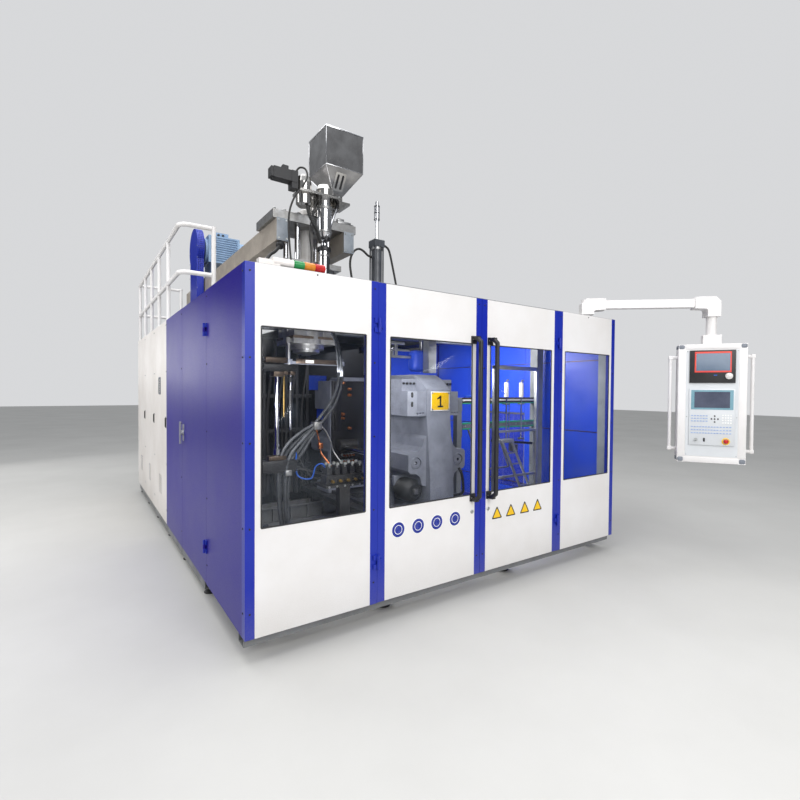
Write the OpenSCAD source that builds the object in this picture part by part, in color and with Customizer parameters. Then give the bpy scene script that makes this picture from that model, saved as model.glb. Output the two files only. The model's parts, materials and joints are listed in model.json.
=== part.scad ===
// Shuttle blow moulding machine for containers of about thirty litres.
// Model frame while building: X along the front from the outer face of the left wall,
// Y back from the front face, Z up from the floor. place() moves the datum foot to the origin.

/* [Enclosure] */
// Height of the wall panels
panel_h = 2200; // [1900:10:2500]
// Gap from the floor to the underside of the panels
base_gap = 150; // [130:5:220]
// Width of a front corner post
corner_w = 58; // [45:1:75]
// Width of each fixed front panel
fixed_w = 784; // [650:1:1000]
// Width of a door hinge post
post_w = 58; // [45:1:75]
// Width of one front door leaf
leaf_w = 967; // [850:1:1150]
// Width of a door stile
stile_w = 60; // [45:1:80]
// Thickness of the wall sheets
sheet = 3; // [2:0.5:5]
// Depth of a folded panel and of a door leaf
panel_t = 40; // [30:1:55]
// Height of the windows above the panels' lower edge
window_up = 645; // [500:5:800]
// Height of the windows
window_h = 1190; // [900:5:1300]
// Border of white sheet beside a window
window_side = 38; // [25:1:70]
// Thickness of the window panes
pane = 6; // [4:1:10]
// Depth of the front side wall panel
side_fix = 980; // [800:5:1200]
// Width of the side service door
side_leaf = 970; // [800:5:1100]
// Width of the side panel behind the service door
side_rear = 920; // [800:5:1100]
// Width of each rear cabinet panel
cabinet_w = 940; // [800:5:1100]
// Number of rear cabinet panels on each side
cabinet_n = 3; // [2:1:4]

/* [Base] */
// Height of a levelling foot
foot_h = 50; // [35:1:80]
// Diameter of a levelling foot's pad
foot_d = 100; // [80:1:140]
// Height of the bed beams
beam_h = 100; // [80:1:120]
// Width of the bed beams
beam_w = 120; // [100:1:160]
// Distance from the front face to the bed's front end
bed_front = 1130; // [1000:5:1300]
// Number of feet along each side beam
foot_n = 6; // [4:1:8]

/* [Doors] */
// Gap round a door leaf
door_gap = 3; // [2:0.5:5]
// Radius of a hinge barrel
hinge_r = 11; // [9:0.5:14]
// Length of a hinge barrel
hinge_l = 96; // [70:1:140]
// Radius of a hinge pin
hinge_pin_r = 4; // [3:0.5:5]
// Running clearance of a hinge pin
pin_gap = 0.05; // [0.02:0.01:0.1]
// Height of the lower hinges
hinge_low = 438; // [350:1:600]
// Height of the upper hinges
hinge_high = 2055; // [1800:1:2200]
// Diameter of a pull handle tube
pull_d = 36; // [28:1:45]
// Distance of a pull handle from the door
pull_off = 85; // [60:1:110]
// Lower end of a pull handle
pull_low = 745; // [600:5:900]
// Upper end of a pull handle
pull_high = 2045; // [1700:5:2200]

/* [Clamp] */
// Distance from the left wall to the blowing axis
blow_x = 1758; // [1650:1:1850]
// Distance from the front to the parting plane
part_y = 1430; // [1400:1:1500]
// Opening between the platens at rest
daylight = 800; // [700:5:850]
// Width of a platen plate
platen_w = 640; // [560:5:680]
// Thickness of a platen plate
platen_t = 60; // [45:1:80]
// Lower edge of the platen plates
platen_low = 830; // [780:5:900]
// Upper edge of the platen castings
platen_high = 1755; // [1650:5:1790]
// Reach of the rear platen's casting from its plate
cast_l = 570; // [520:5:590]
// How much further the front platen's casting reaches
cast_more = 55; // [0:5:70]
// Width of the casting's spine
spine_w = 255; // [200:5:300]
// Spacing of the tie bars
tie_span = 460; // [420:5:480]
// Height of the tie bars
tie_z = 1010; // [960:5:1060]
// Diameter of the tie bars
tie_d = 60; // [50:1:70]
// Reach of the tie bars behind the parting plane
tie_rear = 820; // [780:5:1100]
// Diameter of a mould fixing hole
mould_hole_d = 18; // [12:1:22]
// Spacing of the mould fixing holes across the platen
mould_dx = 300; // [240:10:320]
// Spacing of the mould fixing holes up the platen
mould_dz = 500; // [400:10:560]
// Travel of the clamp carriage
shuttle = 770; // [600:10:790]

/* [Head and extruder] */
// Distance from the left wall to the die axis
die_x = 988; // [960:1:1020]
// Underside of the die ring
die_low = 1950; // [1900:5:2000]
// Diameter of the die head barrel
head_d = 430; // [360:5:460]
// Top of the die head
head_top = 2720; // [2650:5:2760]
// Underside of the platform beams
platform_z = 2895; // [2850:5:2950]
// Height of a platform beam
platform_h = 190; // [150:5:220]
// Width of a platform beam
platform_w = 100; // [80:5:120]
// Clear width between the platform beams
platform_gap = 540; // [520:5:600]
// Front end of the platform beams
platform_y = 1200; // [1150:5:1210]
// Thickness of the head's top plate
top_plate = 75; // [50:5:90]
// Height of the extruder axis
screw_z = 2560; // [2530:5:2580]
// Outside diameter of the extruder barrel
barrel_d = 150; // [130:1:170]
// Front end of the gear reducer
reducer_y = 3820; // [3780:5:3900]
// Length of a heater band on the barrel
band_l = 230; // [200:5:260]
// Pitch of the heater bands on the barrel
band_pitch = 300; // [270:5:340]
// Side of the head's square lower block
head_block_w = 400; // [360:5:420]
// Height of the head's square lower block
head_block_h = 132; // [100:1:160]
// Upper diameter of the material hopper's outlet
hopper_out = 90; // [70:1:120]
// Side of the square material hopper
hopper_w = 366; // [320:1:420]
// Height of the hopper's straight walls
hopper_h = 340; // [280:5:400]

/* [Blowing unit] */
// Outside diameter of the blowing cylinder
blow_d = 108; // [90:1:120]
// Top of the blowing cylinder's tube
blow_top = 3080; // [2950:5:3150]
// Diameter of the blowing unit's guide columns
column_d = 50; // [40:1:60]
// Diameter of the blowing unit's hoses
hose_d = 22; // [16:1:28]
// Diameter of the blowing cylinder's rod
rod_d = 32; // [25:1:40]
// Travel of the blow pin
blow_stroke = 200; // [150:5:205]

/* [Take-out unit] */
// Height of the lower take-out beam
takeout_low = 1222; // [1150:1:1260]
// Height of the upper take-out beam
takeout_high = 1482; // [1400:1:1560]
// Height of a take-out beam
takeout_h = 64; // [50:1:80]
// Depth of a take-out beam
takeout_w = 60; // [50:1:80]

/* [Guard rail] */
// Diameter of the rail tube
rail_d = 44; // [36:1:50]
// Height of the top rail above the roof
rail_top_up = 856; // [750:1:950]
// Height of the middle rail above the roof
rail_mid_up = 396; // [340:1:500]
// Front end of the rail
rail_y = 2230; // [2150:5:2300]
// Pitch of the rail posts
rail_pitch = 680; // [620:5:690]
// Number of posts along the side rail
rail_n = 6; // [4:1:6]

/* [Control station] */
// Height of the swivel arm above the roof
arm_up = 126; // [110:1:200]
// Length of the swivel arm
arm_l = 1164; // [1000:5:1250]
// Angle of the swivel arm from the front
arm_a = -41.9; // [-60:0.1:-20]
// Angle of the control housing from the front
panel_a = -57.7; // [-80:0.1:-40]
// Height of the housing's lower edge
station_low = 940; // [900:5:1000]
// Height of the housing
station_h = 1140; // [1000:5:1200]
// Width of the housing
station_w = 560; // [500:5:600]
// Depth of the housing
station_t = 160; // [130:5:200]

/* [Hidden] */
$fn = 40;

// Clearance between neighbouring pieces that don't touch
gap = 0.3;
// Running clearance of a sliding or turning fit, all round
slide_gap = 0.08;
// Walls of the box sections, from light to heavy
thin_wall = 3;
frame_wall = 5;
column_wall = 6;
beam_wall = 8;

// Enclosure
panel_top = base_gap + panel_h;
roof_t = 4;
roof_top = panel_top + roof_t;
seam_l = corner_w + fixed_w + post_w;
centre_x = seam_l + leaf_w;
wide = 2 * centre_x;
seam_r = wide - seam_l;
side_y1 = side_fix;
side_y2 = side_y1 + side_leaf;
side_y3 = side_y2 + side_rear;
deep = side_y3 + cabinet_n * cabinet_w;
frame_t = 50;
panel_fold = sheet + 2;
pane_lap = 25;
wall_in = sheet + gap + frame_t;
side_post_y = concat([side_y1 - frame_t / 2 - 2, side_y2 + frame_t / 2 + 2],
    [for (i = [0 : cabinet_n - 1]) side_y3 + i * cabinet_w],
    [deep - sheet - gap - frame_t / 2]);
part_wall_y = side_y3 - 60;
part_wall_t = 30;
fold_z = [base_gap + window_up + 105, base_gap + window_up + 705];
fold_h = 22;
louvre_pitch = 28;
outlet_y1 = 1150;
outlet_y2 = 1750;
outlet_z1 = 420;
outlet_z2 = 1350;

// Base
bed_end = deep - 40;
bed_inset = 20;
foot_inset = 60;
foot_x1 = bed_inset + beam_w / 2;
foot_x2 = wide - foot_x1;
foot_y1 = bed_front + foot_inset;
foot_pitch = (bed_end - foot_inset - foot_y1) / (foot_n - 1);
foot_rim = 8;
stem_r = 12;
bed_top = foot_h + beam_h;
clamp_beam_x = [blow_x - shuttle + 110, blow_x + 620];
clamp_foot_y = 230;
outrig_y = panel_t + 6;
outrig_end = 150;
outrig_h = 60;

// Shuttle and carriage
rail_z = 330;
rail_y1 = 560;
rail_y2 = 2300;
rail_bed_w = 120;
rail_w = 44;
rail_t = 40;
shuttle_x1 = blow_x - shuttle - 460;
shuttle_x2 = blow_x + 520;
truck_h = 60;
truck_l = 180;
truck_dx = 260;
deck_z = rail_z + rail_t + truck_h;
deck_t = 60;
deck_w = 760;
deck_y1 = 380;
deck_y2 = 2480;
way_w = 44;
way_h = 34;
way_z = deck_z + deck_t;
way_dx = 250;

// Platens
platen_foot_z = way_z + way_h;
plate_top = platen_high - 40;
ear_low = platen_high - 355;
ear_h = 210;
ear_w = 550;
front_lobe_l = cast_l - 5;
rear_lobe_l = 460;
seat_d = tie_d + 36;
seat_deep = 34;

// Inner frame
col_w = 100;
col_x1 = panel_t + door_gap + frame_t + 10;
col_x2 = wide - col_x1 - col_w;
col_y1 = 810;
col_y2 = 1800;
roof_beam_z = panel_top - 140;
platform_top = platform_z + platform_h;
platform_col_w = 120;
platform_col_x = [die_x - platform_gap / 2 - platform_w / 2, die_x + platform_gap / 2 + platform_w / 2];
platform_col_y = [2640, 5000];
cross_y = [bed_front, rail_y2 - beam_w / 2, platform_col_y[0] - beam_w / 2, reducer_y,
    platform_col_y[1] - beam_w / 2, bed_end - beam_w];
takeout_x = clamp_beam_x[1];
takeout_y = col_y1 + col_w / 2;

// Roof
roof_open_x1 = die_x - 420;
roof_open_x2 = blow_x + 260;
roof_open_y1 = 960;
roof_open_y2 = 1760;
roof_edge = 10;
deck_y = rail_y - 60;
hose_x = 2060;
light_x = corner_w + 30;
light_y = 45;
light_l = 217;
lens_l = 70;
lens_d = 55;
light_z = roof_top + lens_d / 2 + 3;

// Guard rail
rail_top = roof_top + rail_top_up;
rail_mid = roof_top + rail_mid_up;
rail_x = sheet + gap + frame_t / 2;
rail_bend = 90;
rail_return = 290;
rail_end = 560;
rail_back_y = rail_y + (rail_n - 1) * rail_pitch;

// Platform and head
end_plate = 10;
platform_end = platform_col_y[1] + platform_col_w / 2 + 140;
platform_x1 = die_x - platform_gap / 2 - platform_w;
platform_x2 = die_x + platform_gap / 2;
top_y1 = platform_y + end_plate;
top_y2 = part_y + 230;
guide_dx = 150;
guide_dy = 140;
guide_d = 46;
push_d = 140;
carrier_z = head_top;
carrier_t = 50;
carrier_w = 520;
flange_more = 45;
ring_h = 40;
head_low = die_low + ring_h;
clamp_plate_z = head_low + 40;
clamp_plate_h = 64;
head_block_z = clamp_plate_z + clamp_plate_h;
head_band_z = head_block_z + head_block_h + 29;
head_band_h = 85;
head_band_pitch = 95;
cutter_x = die_x - 213;
cutter_y = part_y - 100;
cutter_z = 1846;
cutter_pin_d = 36;

// Extruder and drive
band_t = 14;
barrel_y1 = part_y + head_d / 2 + 80;
barrel_flange = 35;
throat_w = 250;
throat_y1 = reducer_y - 330;
band_y1 = barrel_y1 + 90;
band_n = floor((throat_y1 - band_y1 - band_l) / band_pitch) + 1;
bore_d = 80;
screw_pitch = 80;
screw_y1 = barrel_y1 + 60;
screw_y2 = throat_y1 + 148;
base_plate_t = 25;
base_plate_l = 760;
reducer_l = 490;
reducer_up = platform_z + 60;
reducer_down = screw_z - 230;
belt_w = 88;
pulley_x1 = platform_x1 - 100;
pulley_r = 210;
guard_r = 265;
input_z = screw_z + 110;
motor_stand = 400;
motor_z = platform_top + base_plate_t + motor_stand;
motor_w = 360;
motor_l = 410;
drive_y = reducer_y + 330;

// Stripe extruder and hopper
stripe_x = 1020;
stripe_y = 1115;
stripe_z = 3290;
stripe_d = 128;
mount_t = 22;
hopper_x = stripe_x + 165;
hopper_y = stripe_y + 110;
hopper_taper = 190;
hopper_z = stripe_z + mount_t + 80 + hopper_taper;
hopper_wall = 3;

// Blowing unit
hang_dx = 230;
hang_w = 70;
hang_h = 90;
hang_z = roof_beam_z + 30;
column_dx = 120;
mast_x = 2015;
mast_w = 90;
block_side = blow_d / 2 + 6;
block_h = 70;
port_z = blow_top - 100;
hose_side = block_side + gap;

// Routes of the two hoses, each in the plane of the blowing axis
blow_hose_a = [[blow_x + hose_side, part_y, 3120], [1828, part_y, 3120], [1838, part_y, 3120],
    [1870, part_y, 3112], [1912, part_y, 3070], [1960, part_y, 2900], [2020, part_y, 2650],
    [2055, part_y, 2450], [hose_x, part_y, 2410], [hose_x, part_y, 2390], [hose_x, part_y, roof_top + 21]];
blow_hose_b = [[blow_x - hose_side, part_y, 2980], [1690, part_y, 2980], [1680, part_y, 2980],
    [1650, part_y, 2988], [1600, part_y, 3022], [1550, part_y, 3034], [1500, part_y, 3008],
    [1462, part_y, 2945], [1450, part_y, 2860], [1468, part_y, 2740], [1505, part_y, 2580],
    [1545, part_y, 2440], [1560, part_y, 2380], [1560, part_y, 2350],
    [1560, part_y, hang_z + hang_h + gap]];

// Doors and control station
hinge_y = -hinge_r - 4;
pull_inset = 28;
lever_y = side_y2 - 60;
lever_z = 1220;
arm_x = 3418;
arm_y = 115;
arm_w = 80;
arm_z = roof_top + arm_up;
pivot_d = 104;
station_top = station_low + station_h;
neck_h = 90;
grip_d = 32;
grip_off = 60;
control_w = 370;
keypad_t = 10;
estop_stem = 18;
estop_play = 0.8;

// Moves a piece so that the datum foot stands at the origin
module place() {
    translate([-foot_x1, -foot_y1, 0]) children();
}

// A box given by its low and high corners
module span(a, b) {
    translate(a) cube(b - a);
}

// A rectangular tube along Z with wall t, given by its low and high corners
module tube_z(a, b, t) {
    difference() {
        span(a, b);
        span([a[0] + t, a[1] + t, a[2] - 1], [b[0] - t, b[1] - t, b[2] + 1]);
    }
}

// A rectangular tube along X with wall t
module tube_x(a, b, t) {
    difference() {
        span(a, b);
        span([a[0] - 1, a[1] + t, a[2] + t], [b[0] + 1, b[1] - t, b[2] - t]);
    }
}

// A rectangular tube along Y with wall t
module tube_y(a, b, t) {
    difference() {
        span(a, b);
        span([a[0] + t, a[1] - 1, a[2] + t], [b[0] - t, b[1] + 1, b[2] - t]);
    }
}

// A cylinder along Y that starts at p
module rod_y(p, d, l) {
    translate(p) rotate([-90, 0, 0]) cylinder(d = d, h = l);
}

// A cylinder along X that starts at p
module rod_x(p, d, l) {
    translate(p) rotate([0, 90, 0]) cylinder(d = d, h = l);
}

function unit(v) = v / norm(v);
function mix(a, b, t) = a * (1 - t) + b * t;

// Points of a smooth curve through the given points, n steps to each stretch
function curve(p, n) = [
    for (i = [0 : len(p) - 2]) for (j = [0 : n - 1])
        let (a = p[max(i - 1, 0)], b = p[i], c = p[i + 1], d = p[min(i + 2, len(p) - 1)],
             t = j / n)
        0.5 * (2 * b + (c - a) * t + (2 * a - 5 * b + 4 * c - d) * t * t
            + (3 * b - a - 3 * c + d) * t * t * t),
    p[len(p) - 1]];

// A hose of diameter d along the points p, with m sides
module sweep(p, d, m) {
    n = len(p);
    dirs = [for (i = [0 : n - 1]) unit(p[min(i + 1, n - 1)] - p[max(i - 1, 0)])];
    side = [for (i = [0 : n - 1]) unit(cross(dirs[i], [0.31, 0.87, 0.38]))];
    ring = [for (i = [0 : n - 1]) let (u = side[i], v = cross(dirs[i], u))
        for (j = [0 : m - 1]) p[i] + d / 2 * (cos(360 * j / m) * u + sin(360 * j / m) * v)];
    faces = concat(
        [[for (j = [0 : m - 1]) j]],
        [for (i = [0 : n - 2]) for (j = [0 : m - 1]) let (k = (j + 1) % m)
            each [[i * m + j, (i + 1) * m + j, (i + 1) * m + k], [i * m + j, (i + 1) * m + k, i * m + k]]],
        [[for (j = [m - 1 : -1 : 0]) (n - 1) * m + j]]);
    polyhedron(points = ring, faces = faces, convexity = 6);
}

// Base

module levelling_foot(x, y, top) {
    r = foot_d / 2;
    translate([x, y, 0]) rotate_extrude() polygon([[0, 0], [r, 0], [r, foot_rim], [r - stem_r, 2 * foot_rim],
        [2 * stem_r, 22], [stem_r, 22], [stem_r, top], [0, top]]);
}

module levelling_feet() {
    color("dimgray") place() {
        for (i = [0 : foot_n - 1]) for (x = [foot_x1, foot_x2])
            levelling_foot(x, foot_y1 + i * foot_pitch, foot_h);
        for (x = clamp_beam_x) levelling_foot(x, clamp_foot_y, foot_h);
    }
}

// Bed beams: a channel on each side, open to the middle, and box members between them
module bed_beams() {
    z1 = foot_h;
    z2 = bed_top;
    t = 12;
    channel = [[0, 0], [beam_w, 0], [beam_w, t], [t, t], [t, beam_h - t], [beam_w, beam_h - t],
        [beam_w, beam_h], [0, beam_h]];
    color("gray") place() {
        translate([bed_inset, bed_end, z1]) rotate([90, 0, 0])
            linear_extrude(bed_end - bed_front) polygon(channel);
        translate([wide - bed_inset, bed_end, z1]) rotate([90, 0, 0])
            linear_extrude(bed_end - bed_front) mirror([1, 0]) polygon(channel);
        for (y = cross_y) tube_x([bed_inset + beam_w + gap, y, z1],
            [wide - bed_inset - beam_w - gap, y + beam_w, z2], beam_wall);
    }
}

// Clamp bed: outriggers towards the front, the enclosure's carrier and the two shuttle beams
module clamp_bed() {
    z2 = bed_top;
    w = beam_w / 2;
    color("gray") place() {
        for (x = clamp_beam_x)
            tube_y([x - w, outrig_end + gap, foot_h], [x + w, bed_front - gap, z2 - gap], beam_wall);
        for (x = [col_x1, col_x2])
            tube_y([x, outrig_end + gap, z2 - outrig_h], [x + col_w, bed_front - gap, z2], frame_wall);
        tube_x([6, outrig_y, z2 - outrig_h], [wide - 6, outrig_end, z2 - gap], frame_wall);
        for (y = [rail_y1, rail_y2]) shuttle_beam(y);
    }
}

// Shuttle beam along X at y, with stiffening ribs
module shuttle_beam(y) {
    z1 = bed_top;
    z2 = rail_z;
    w = rail_bed_w / 2;
    flange = 18;
    web = 16;
    rib = 12;
    span([shuttle_x1, y - w, z2 - flange], [shuttle_x2, y + w, z2]);
    span([shuttle_x1, y - web / 2, z1], [shuttle_x2, y + web / 2, z2 - 1]);
    span([shuttle_x1, y - w, z1], [shuttle_x2, y + w, z1 + flange]);
    for (x = [shuttle_x1 + 40 : 200 : shuttle_x2 - 40])
        span([x - rib / 2, y - w + rib, z1 + 1], [x + rib / 2, y + w - rib, z2 - 1]);
}

// Enclosure

// Posts of square tube: four in the front plane, the others behind the side and rear sheets
module enclosure_posts() {
    z1 = base_gap;
    z2 = panel_top;
    p = frame_t;
    color("mediumblue") place() {
        for (x = [0, wide - corner_w]) tube_z([x, 0, z1], [x + corner_w, corner_w, z2], thin_wall);
        for (x = [seam_l - post_w, seam_r])
            tube_z([x, 0, z1], [x + post_w, panel_t + frame_t, z2], thin_wall);
        for (y = side_post_y) for (x = [sheet + gap, wide - sheet - gap - p])
            tube_z([x, y - p / 2, z1], [x + p, y + p / 2, z2], thin_wall);
    }
}

// Rails of square tube between the posts, at the panels' lower and upper edges
module enclosure_rails() {
    p = frame_t;
    t = thin_wall;
    last = len(side_post_y) - 1;
    door_x = panel_t + door_gap;
    color("mediumblue") place() for (z = [base_gap, panel_top - p]) {
        for (x = [corner_w, seam_r + post_w])
            tube_x([x, panel_fold, z], [x + fixed_w, panel_fold + p, z + p], t);
        tube_x([seam_l, panel_t + door_gap, z], [seam_r, panel_t + door_gap + p, z + p], t);
        for (x = [sheet + gap, wide - sheet - gap - p]) {
            tube_y([x, corner_w, z], [x + p, side_post_y[0] - p / 2, z + p], t);
            for (i = [x < centre_x ? 1 : 0 : last - 1])
                tube_y([x, side_post_y[i] + p / 2, z], [x + p, side_post_y[i + 1] - p / 2, z + p], t);
        }
        tube_y([door_x, side_post_y[0] + p / 2, z], [door_x + p, side_post_y[1] - p / 2, z + p], t);
        tube_x([sheet + gap + p, side_post_y[last] - p / 2, z],
            [wide - sheet - gap - p, side_post_y[last] + p / 2, z + p], t);
    }
}

// A white front sheet w wide and h high, folded back at its edges, with a window cut out
module window_sheet(w, h, back) {
    difference() {
        span([0, 0, 0], [w, back, h]);
        span([sheet, sheet, sheet], [w - sheet, back + 1, h - sheet]);
        span([window_side, -1, window_up], [w - window_side, sheet + 1, window_up + window_h]);
    }
}

module front_panels() {
    back = panel_fold - gap;
    color("whitesmoke") place()
        for (x = [corner_w, seam_r + post_w])
            translate([x, 0, base_gap]) window_sheet(fixed_w, panel_h, back);
}

// A window pane with its clamping border, seated behind the sheet of width w
module window_pane(w, y) {
    m = window_side - pane_lap;
    span([m, y, window_up - pane_lap], [w - m, y + pane, window_up + window_h + pane_lap]);
}

module front_windows() {
    color([0.6, 0.7, 0.75, 0.3]) place()
        for (x = [corner_w, seam_r + post_w]) translate([x, 0, base_gap]) window_pane(fixed_w, sheet);
}

// A side sheet from y1 to y2 with return folds, on the left if s = 0 or the right if s = 1
module side_sheet(s, y1, y2, z1, z2) {
    x = s == 0 ? 0 : wide - sheet;
    span([x, y1, z1], [x + sheet, y2, z2]);
}

// Blue side sheets: two on the left beside the service door, three on the right, where the
// middle one has the product outlet
module side_wall_panels() {
    g = door_gap / 2;
    color("mediumblue") place() {
        side_sheet(0, corner_w, side_y1 - g, base_gap, panel_top);
        side_sheet(0, side_y2 + g, side_y3 - g, base_gap, panel_top);
        side_sheet(1, corner_w, side_y1 - g, base_gap, panel_top);
        difference() {
            side_sheet(1, side_y1 + g, side_y2 - g, base_gap, panel_top);
            span([wide - 10, outlet_y1, outlet_z1], [wide + 10, outlet_y2, outlet_z2]);
        }
        side_sheet(1, side_y2 + g, side_y3 - g, base_gap, panel_top);
    }
}

// A row of louvre slots cut through a sheet that lies in the YZ plane at x
module louvres(x, y, z, n) {
    for (i = [0 : n - 1])
        span([x - 10, y, z + i * louvre_pitch], [x + 10, y + 220, z + i * louvre_pitch + 9]);
}

// Light grey sheets of the rear cabinets on both sides and across the back
module cabinet_panels() {
    g = door_gap / 2;
    back_w = (wide - 2 * sheet - 2 * gap) / 4;
    color("gainsboro") place() {
        for (s = [0, 1]) for (i = [0 : cabinet_n - 1]) let (y = side_y3 + i * cabinet_w) difference() {
            side_sheet(s, y + g, y + cabinet_w - g, base_gap, panel_top);
            louvres(s * wide, y + 360, base_gap + 260, 8);
        }
        for (i = [0 : 3]) span([sheet + gap + i * back_w + g, deep - sheet, base_gap],
            [sheet + gap + (i + 1) * back_w - g, deep, panel_top]);
    }
}

// Blue wall between the clamp room and the rear cabinets, with two stiffening folds
module partition_wall() {
    x1 = wall_in + 6;
    x2 = wide - x1;
    y = part_wall_y;
    inset = 54;
    color("mediumblue") place() difference() {
        span([x1, y, base_gap], [x2, y + part_wall_t, panel_top - 160]);
        for (z = fold_z) span([x1 + inset, y - 1, z], [x2 - inset, y + 4, z + fold_h]);
        span([x1 + inset, y + sheet, base_gap + 20], [x2 - inset, y + part_wall_t + 1, panel_top - 180]);
    }
}

// Sheet steel roof over the clamp room with the opening for head and blowing unit, and the
// chequer plate deck behind it
module roof_plates() {
    z = panel_top;
    c = platform_col_w / 2 + 2;
    color("gray") place() {
        difference() {
            span([roof_edge, roof_edge, z], [wide - roof_edge, deck_y, z + roof_t]);
            span([roof_open_x1, roof_open_y1, z - 1], [roof_open_x2, roof_open_y2, z + roof_t + 1]);
        }
        translate([hose_x, part_y, z + roof_t - 1]) cylinder(d = 40, h = 21);
        difference() {
            span([roof_edge, deck_y + gap, z], [wide - roof_edge, deep - roof_edge, z + roof_t]);
            for (x = platform_col_x) for (y = platform_col_y)
                span([x - c, y - c, z - 1], [x + c, y + c, z + roof_t + 1]);
            span([die_x - 260, platform_col_y[0] + c, z - 1], [die_x + 260, reducer_y + 560, z + roof_t + 1]);
        }
    }
}

// Columns and cross beams of box section that carry the roof, the raised platform and the
// take-out unit
module inner_frame() {
    z1 = bed_top;
    c = platform_col_w / 2;
    color("gray") place() {
        for (x = [col_x1, col_x2]) for (y = [col_y1, col_y2])
            tube_z([x, y, z1], [x + col_w, y + col_w, roof_beam_z - gap], column_wall);
        for (y = [col_y1, col_y2])
            tube_x([col_x1, y, roof_beam_z], [col_x2 + col_w, y + col_w, panel_top], column_wall);
        for (x = platform_col_x) for (y = platform_col_y)
            tube_z([x - c, y - c, z1], [x + c, y + c, platform_z], beam_wall);
        takeout_frame();
    }
}

// Take-out unit: a post on the clamp bed and two beams from it to the right column
module takeout_frame() {
    w = takeout_w / 2;
    y = takeout_y;
    tube_z([takeout_x - w, y - w, bed_top], [takeout_x + w, y + w, takeout_high + takeout_h], frame_wall);
    for (z = [takeout_low, takeout_high]) {
        tube_x([takeout_x + w, y - w, z], [col_x2, y + w, z + takeout_h], frame_wall);
        span([takeout_x + w, y - w, z - 70], [takeout_x + w + 8, y + w, z]);
        span([col_x2 - 8, y - w, z - 70], [col_x2, y + w, z]);
    }
}

// Guard rail

// A post of the side rail: foot flange, and a stretch of tube below and above the middle rail
module rail_post(y) {
    r = rail_d / 2;
    translate([rail_x, y, roof_top]) {
        cylinder(r = r + 8, h = 8);
        cylinder(r = r - 2, h = rail_mid_up - r - gap);
    }
    translate([rail_x, y, rail_mid + r + gap]) cylinder(r = r - 2, h = rail_top - rail_mid - 2 * r - 2 * gap);
}

// One bent tube: the rail along the side at height z with a rounded corner into its front return
module bent_rail(z) {
    b = rail_bend;
    rod_y([rail_x, rail_y + b, z], rail_d, (rail_n - 1) * rail_pitch - b + rail_d / 2);
    translate([rail_x + b, rail_y + b, z]) rotate([0, 0, 180]) rotate_extrude(angle = 90)
        translate([b, 0]) circle(d = rail_d);
    rod_x([rail_x + b, rail_y, z], rail_d, rail_return - b);
}

module guard_rail() {
    r = rail_d / 2;
    end_x = rail_x + r + gap + rail_end;
    color("white") place() {
        for (i = [1 : rail_n - 1]) rail_post(rail_y + i * rail_pitch);
        for (z = [rail_top, rail_mid]) bent_rail(z);
        translate([rail_x + rail_return + r + gap, rail_y, roof_top]) {
            cylinder(r = r + 8, h = 8);
            cylinder(r = r, h = rail_top + r - roof_top);
        }
        for (z = [rail_top, rail_mid])
            rod_x([rail_x + r + gap, rail_back_y, z], rail_d - 4, rail_end - r - gap);
        translate([end_x, rail_back_y, roof_top]) {
            cylinder(r = r + 8, h = 8);
            cylinder(r = r, h = rail_top + r - roof_top);
        }
    }
}

// Signal light along the top front edge

module signal_light_base() {
    color("lightgray") place() {
        span([light_x, light_y - 24, roof_top], [light_x + 90, light_y + 24, roof_top + 34]);
        rod_x([light_x + 90, light_y, light_z], lens_d - 4, light_l - 90);
        span([light_x + 90, light_y - 20, roof_top], [light_x + 130, light_y + 20, roof_top + 20]);
    }
}

module lens(i) {
    place() translate([light_x + light_l + i * (lens_l + gap) + gap, light_y, light_z]) rotate([0, 90, 0])
        rotate_extrude() polygon([[0, 0], [lens_d / 2 - 3, 0], [lens_d / 2 - 3, 4], [lens_d / 2, 5],
            [lens_d / 2, lens_l - 5], [lens_d / 2 - 3, lens_l - 4], [lens_d / 2 - 3, lens_l], [0, lens_l]]);
}

module signal_lens_green() color("green") lens(0);
module signal_lens_amber() color("orange") lens(1);
module signal_lens_red() color("red") lens(2);

// Raised platform, head and extruder

// Two box beams with welded end plates, and the drive's base plate across them
module platform_beams() {
    color("tan") place() {
        for (x = [platform_x1, platform_x2]) {
            tube_y([x, platform_y + end_plate, platform_z],
                [x + platform_w, platform_end, platform_top], beam_wall);
            span([x, platform_y, platform_z], [x + platform_w, platform_y + end_plate, platform_top]);
        }
        translate([0, reducer_y - 60, platform_top]) span([platform_x1 + end_plate, 0, 0],
            [platform_x2 + platform_w - end_plate, base_plate_l, base_plate_t]);
    }
}

// Plate across the beams that the head hangs from, with seats for rods and cylinder
module head_top_plate() {
    color("silver") place() difference() {
        union() {
            span([platform_x1 - 30, top_y1, platform_top],
                [platform_x2 + platform_w + 30, top_y2, platform_top + top_plate]);
            for (x = [-1, 1]) for (y = [-1, 1])
                translate([die_x + x * guide_dx, part_y + y * guide_dy, platform_top + top_plate])
                    cylinder(d = guide_d + 34, h = 24);
        }
        for (x = [-1, 1]) for (y = [-1, 1])
            translate([die_x + x * guide_dx, part_y + y * guide_dy, platform_top - 1])
                cylinder(d = guide_d, h = top_plate + 1 + 10);
        translate([die_x, part_y, platform_top - 1]) cylinder(d = push_d + 10, h = top_plate + 2);
    }
}

module head_guide_rods() {
    color("gainsboro") place() for (x = [-1, 1]) for (y = [-1, 1])
        translate([die_x + x * guide_dx, part_y + y * guide_dy, carrier_z + carrier_t])
            cylinder(d = guide_d, h = platform_top + top_plate + 10 - carrier_z - carrier_t);
}

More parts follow.
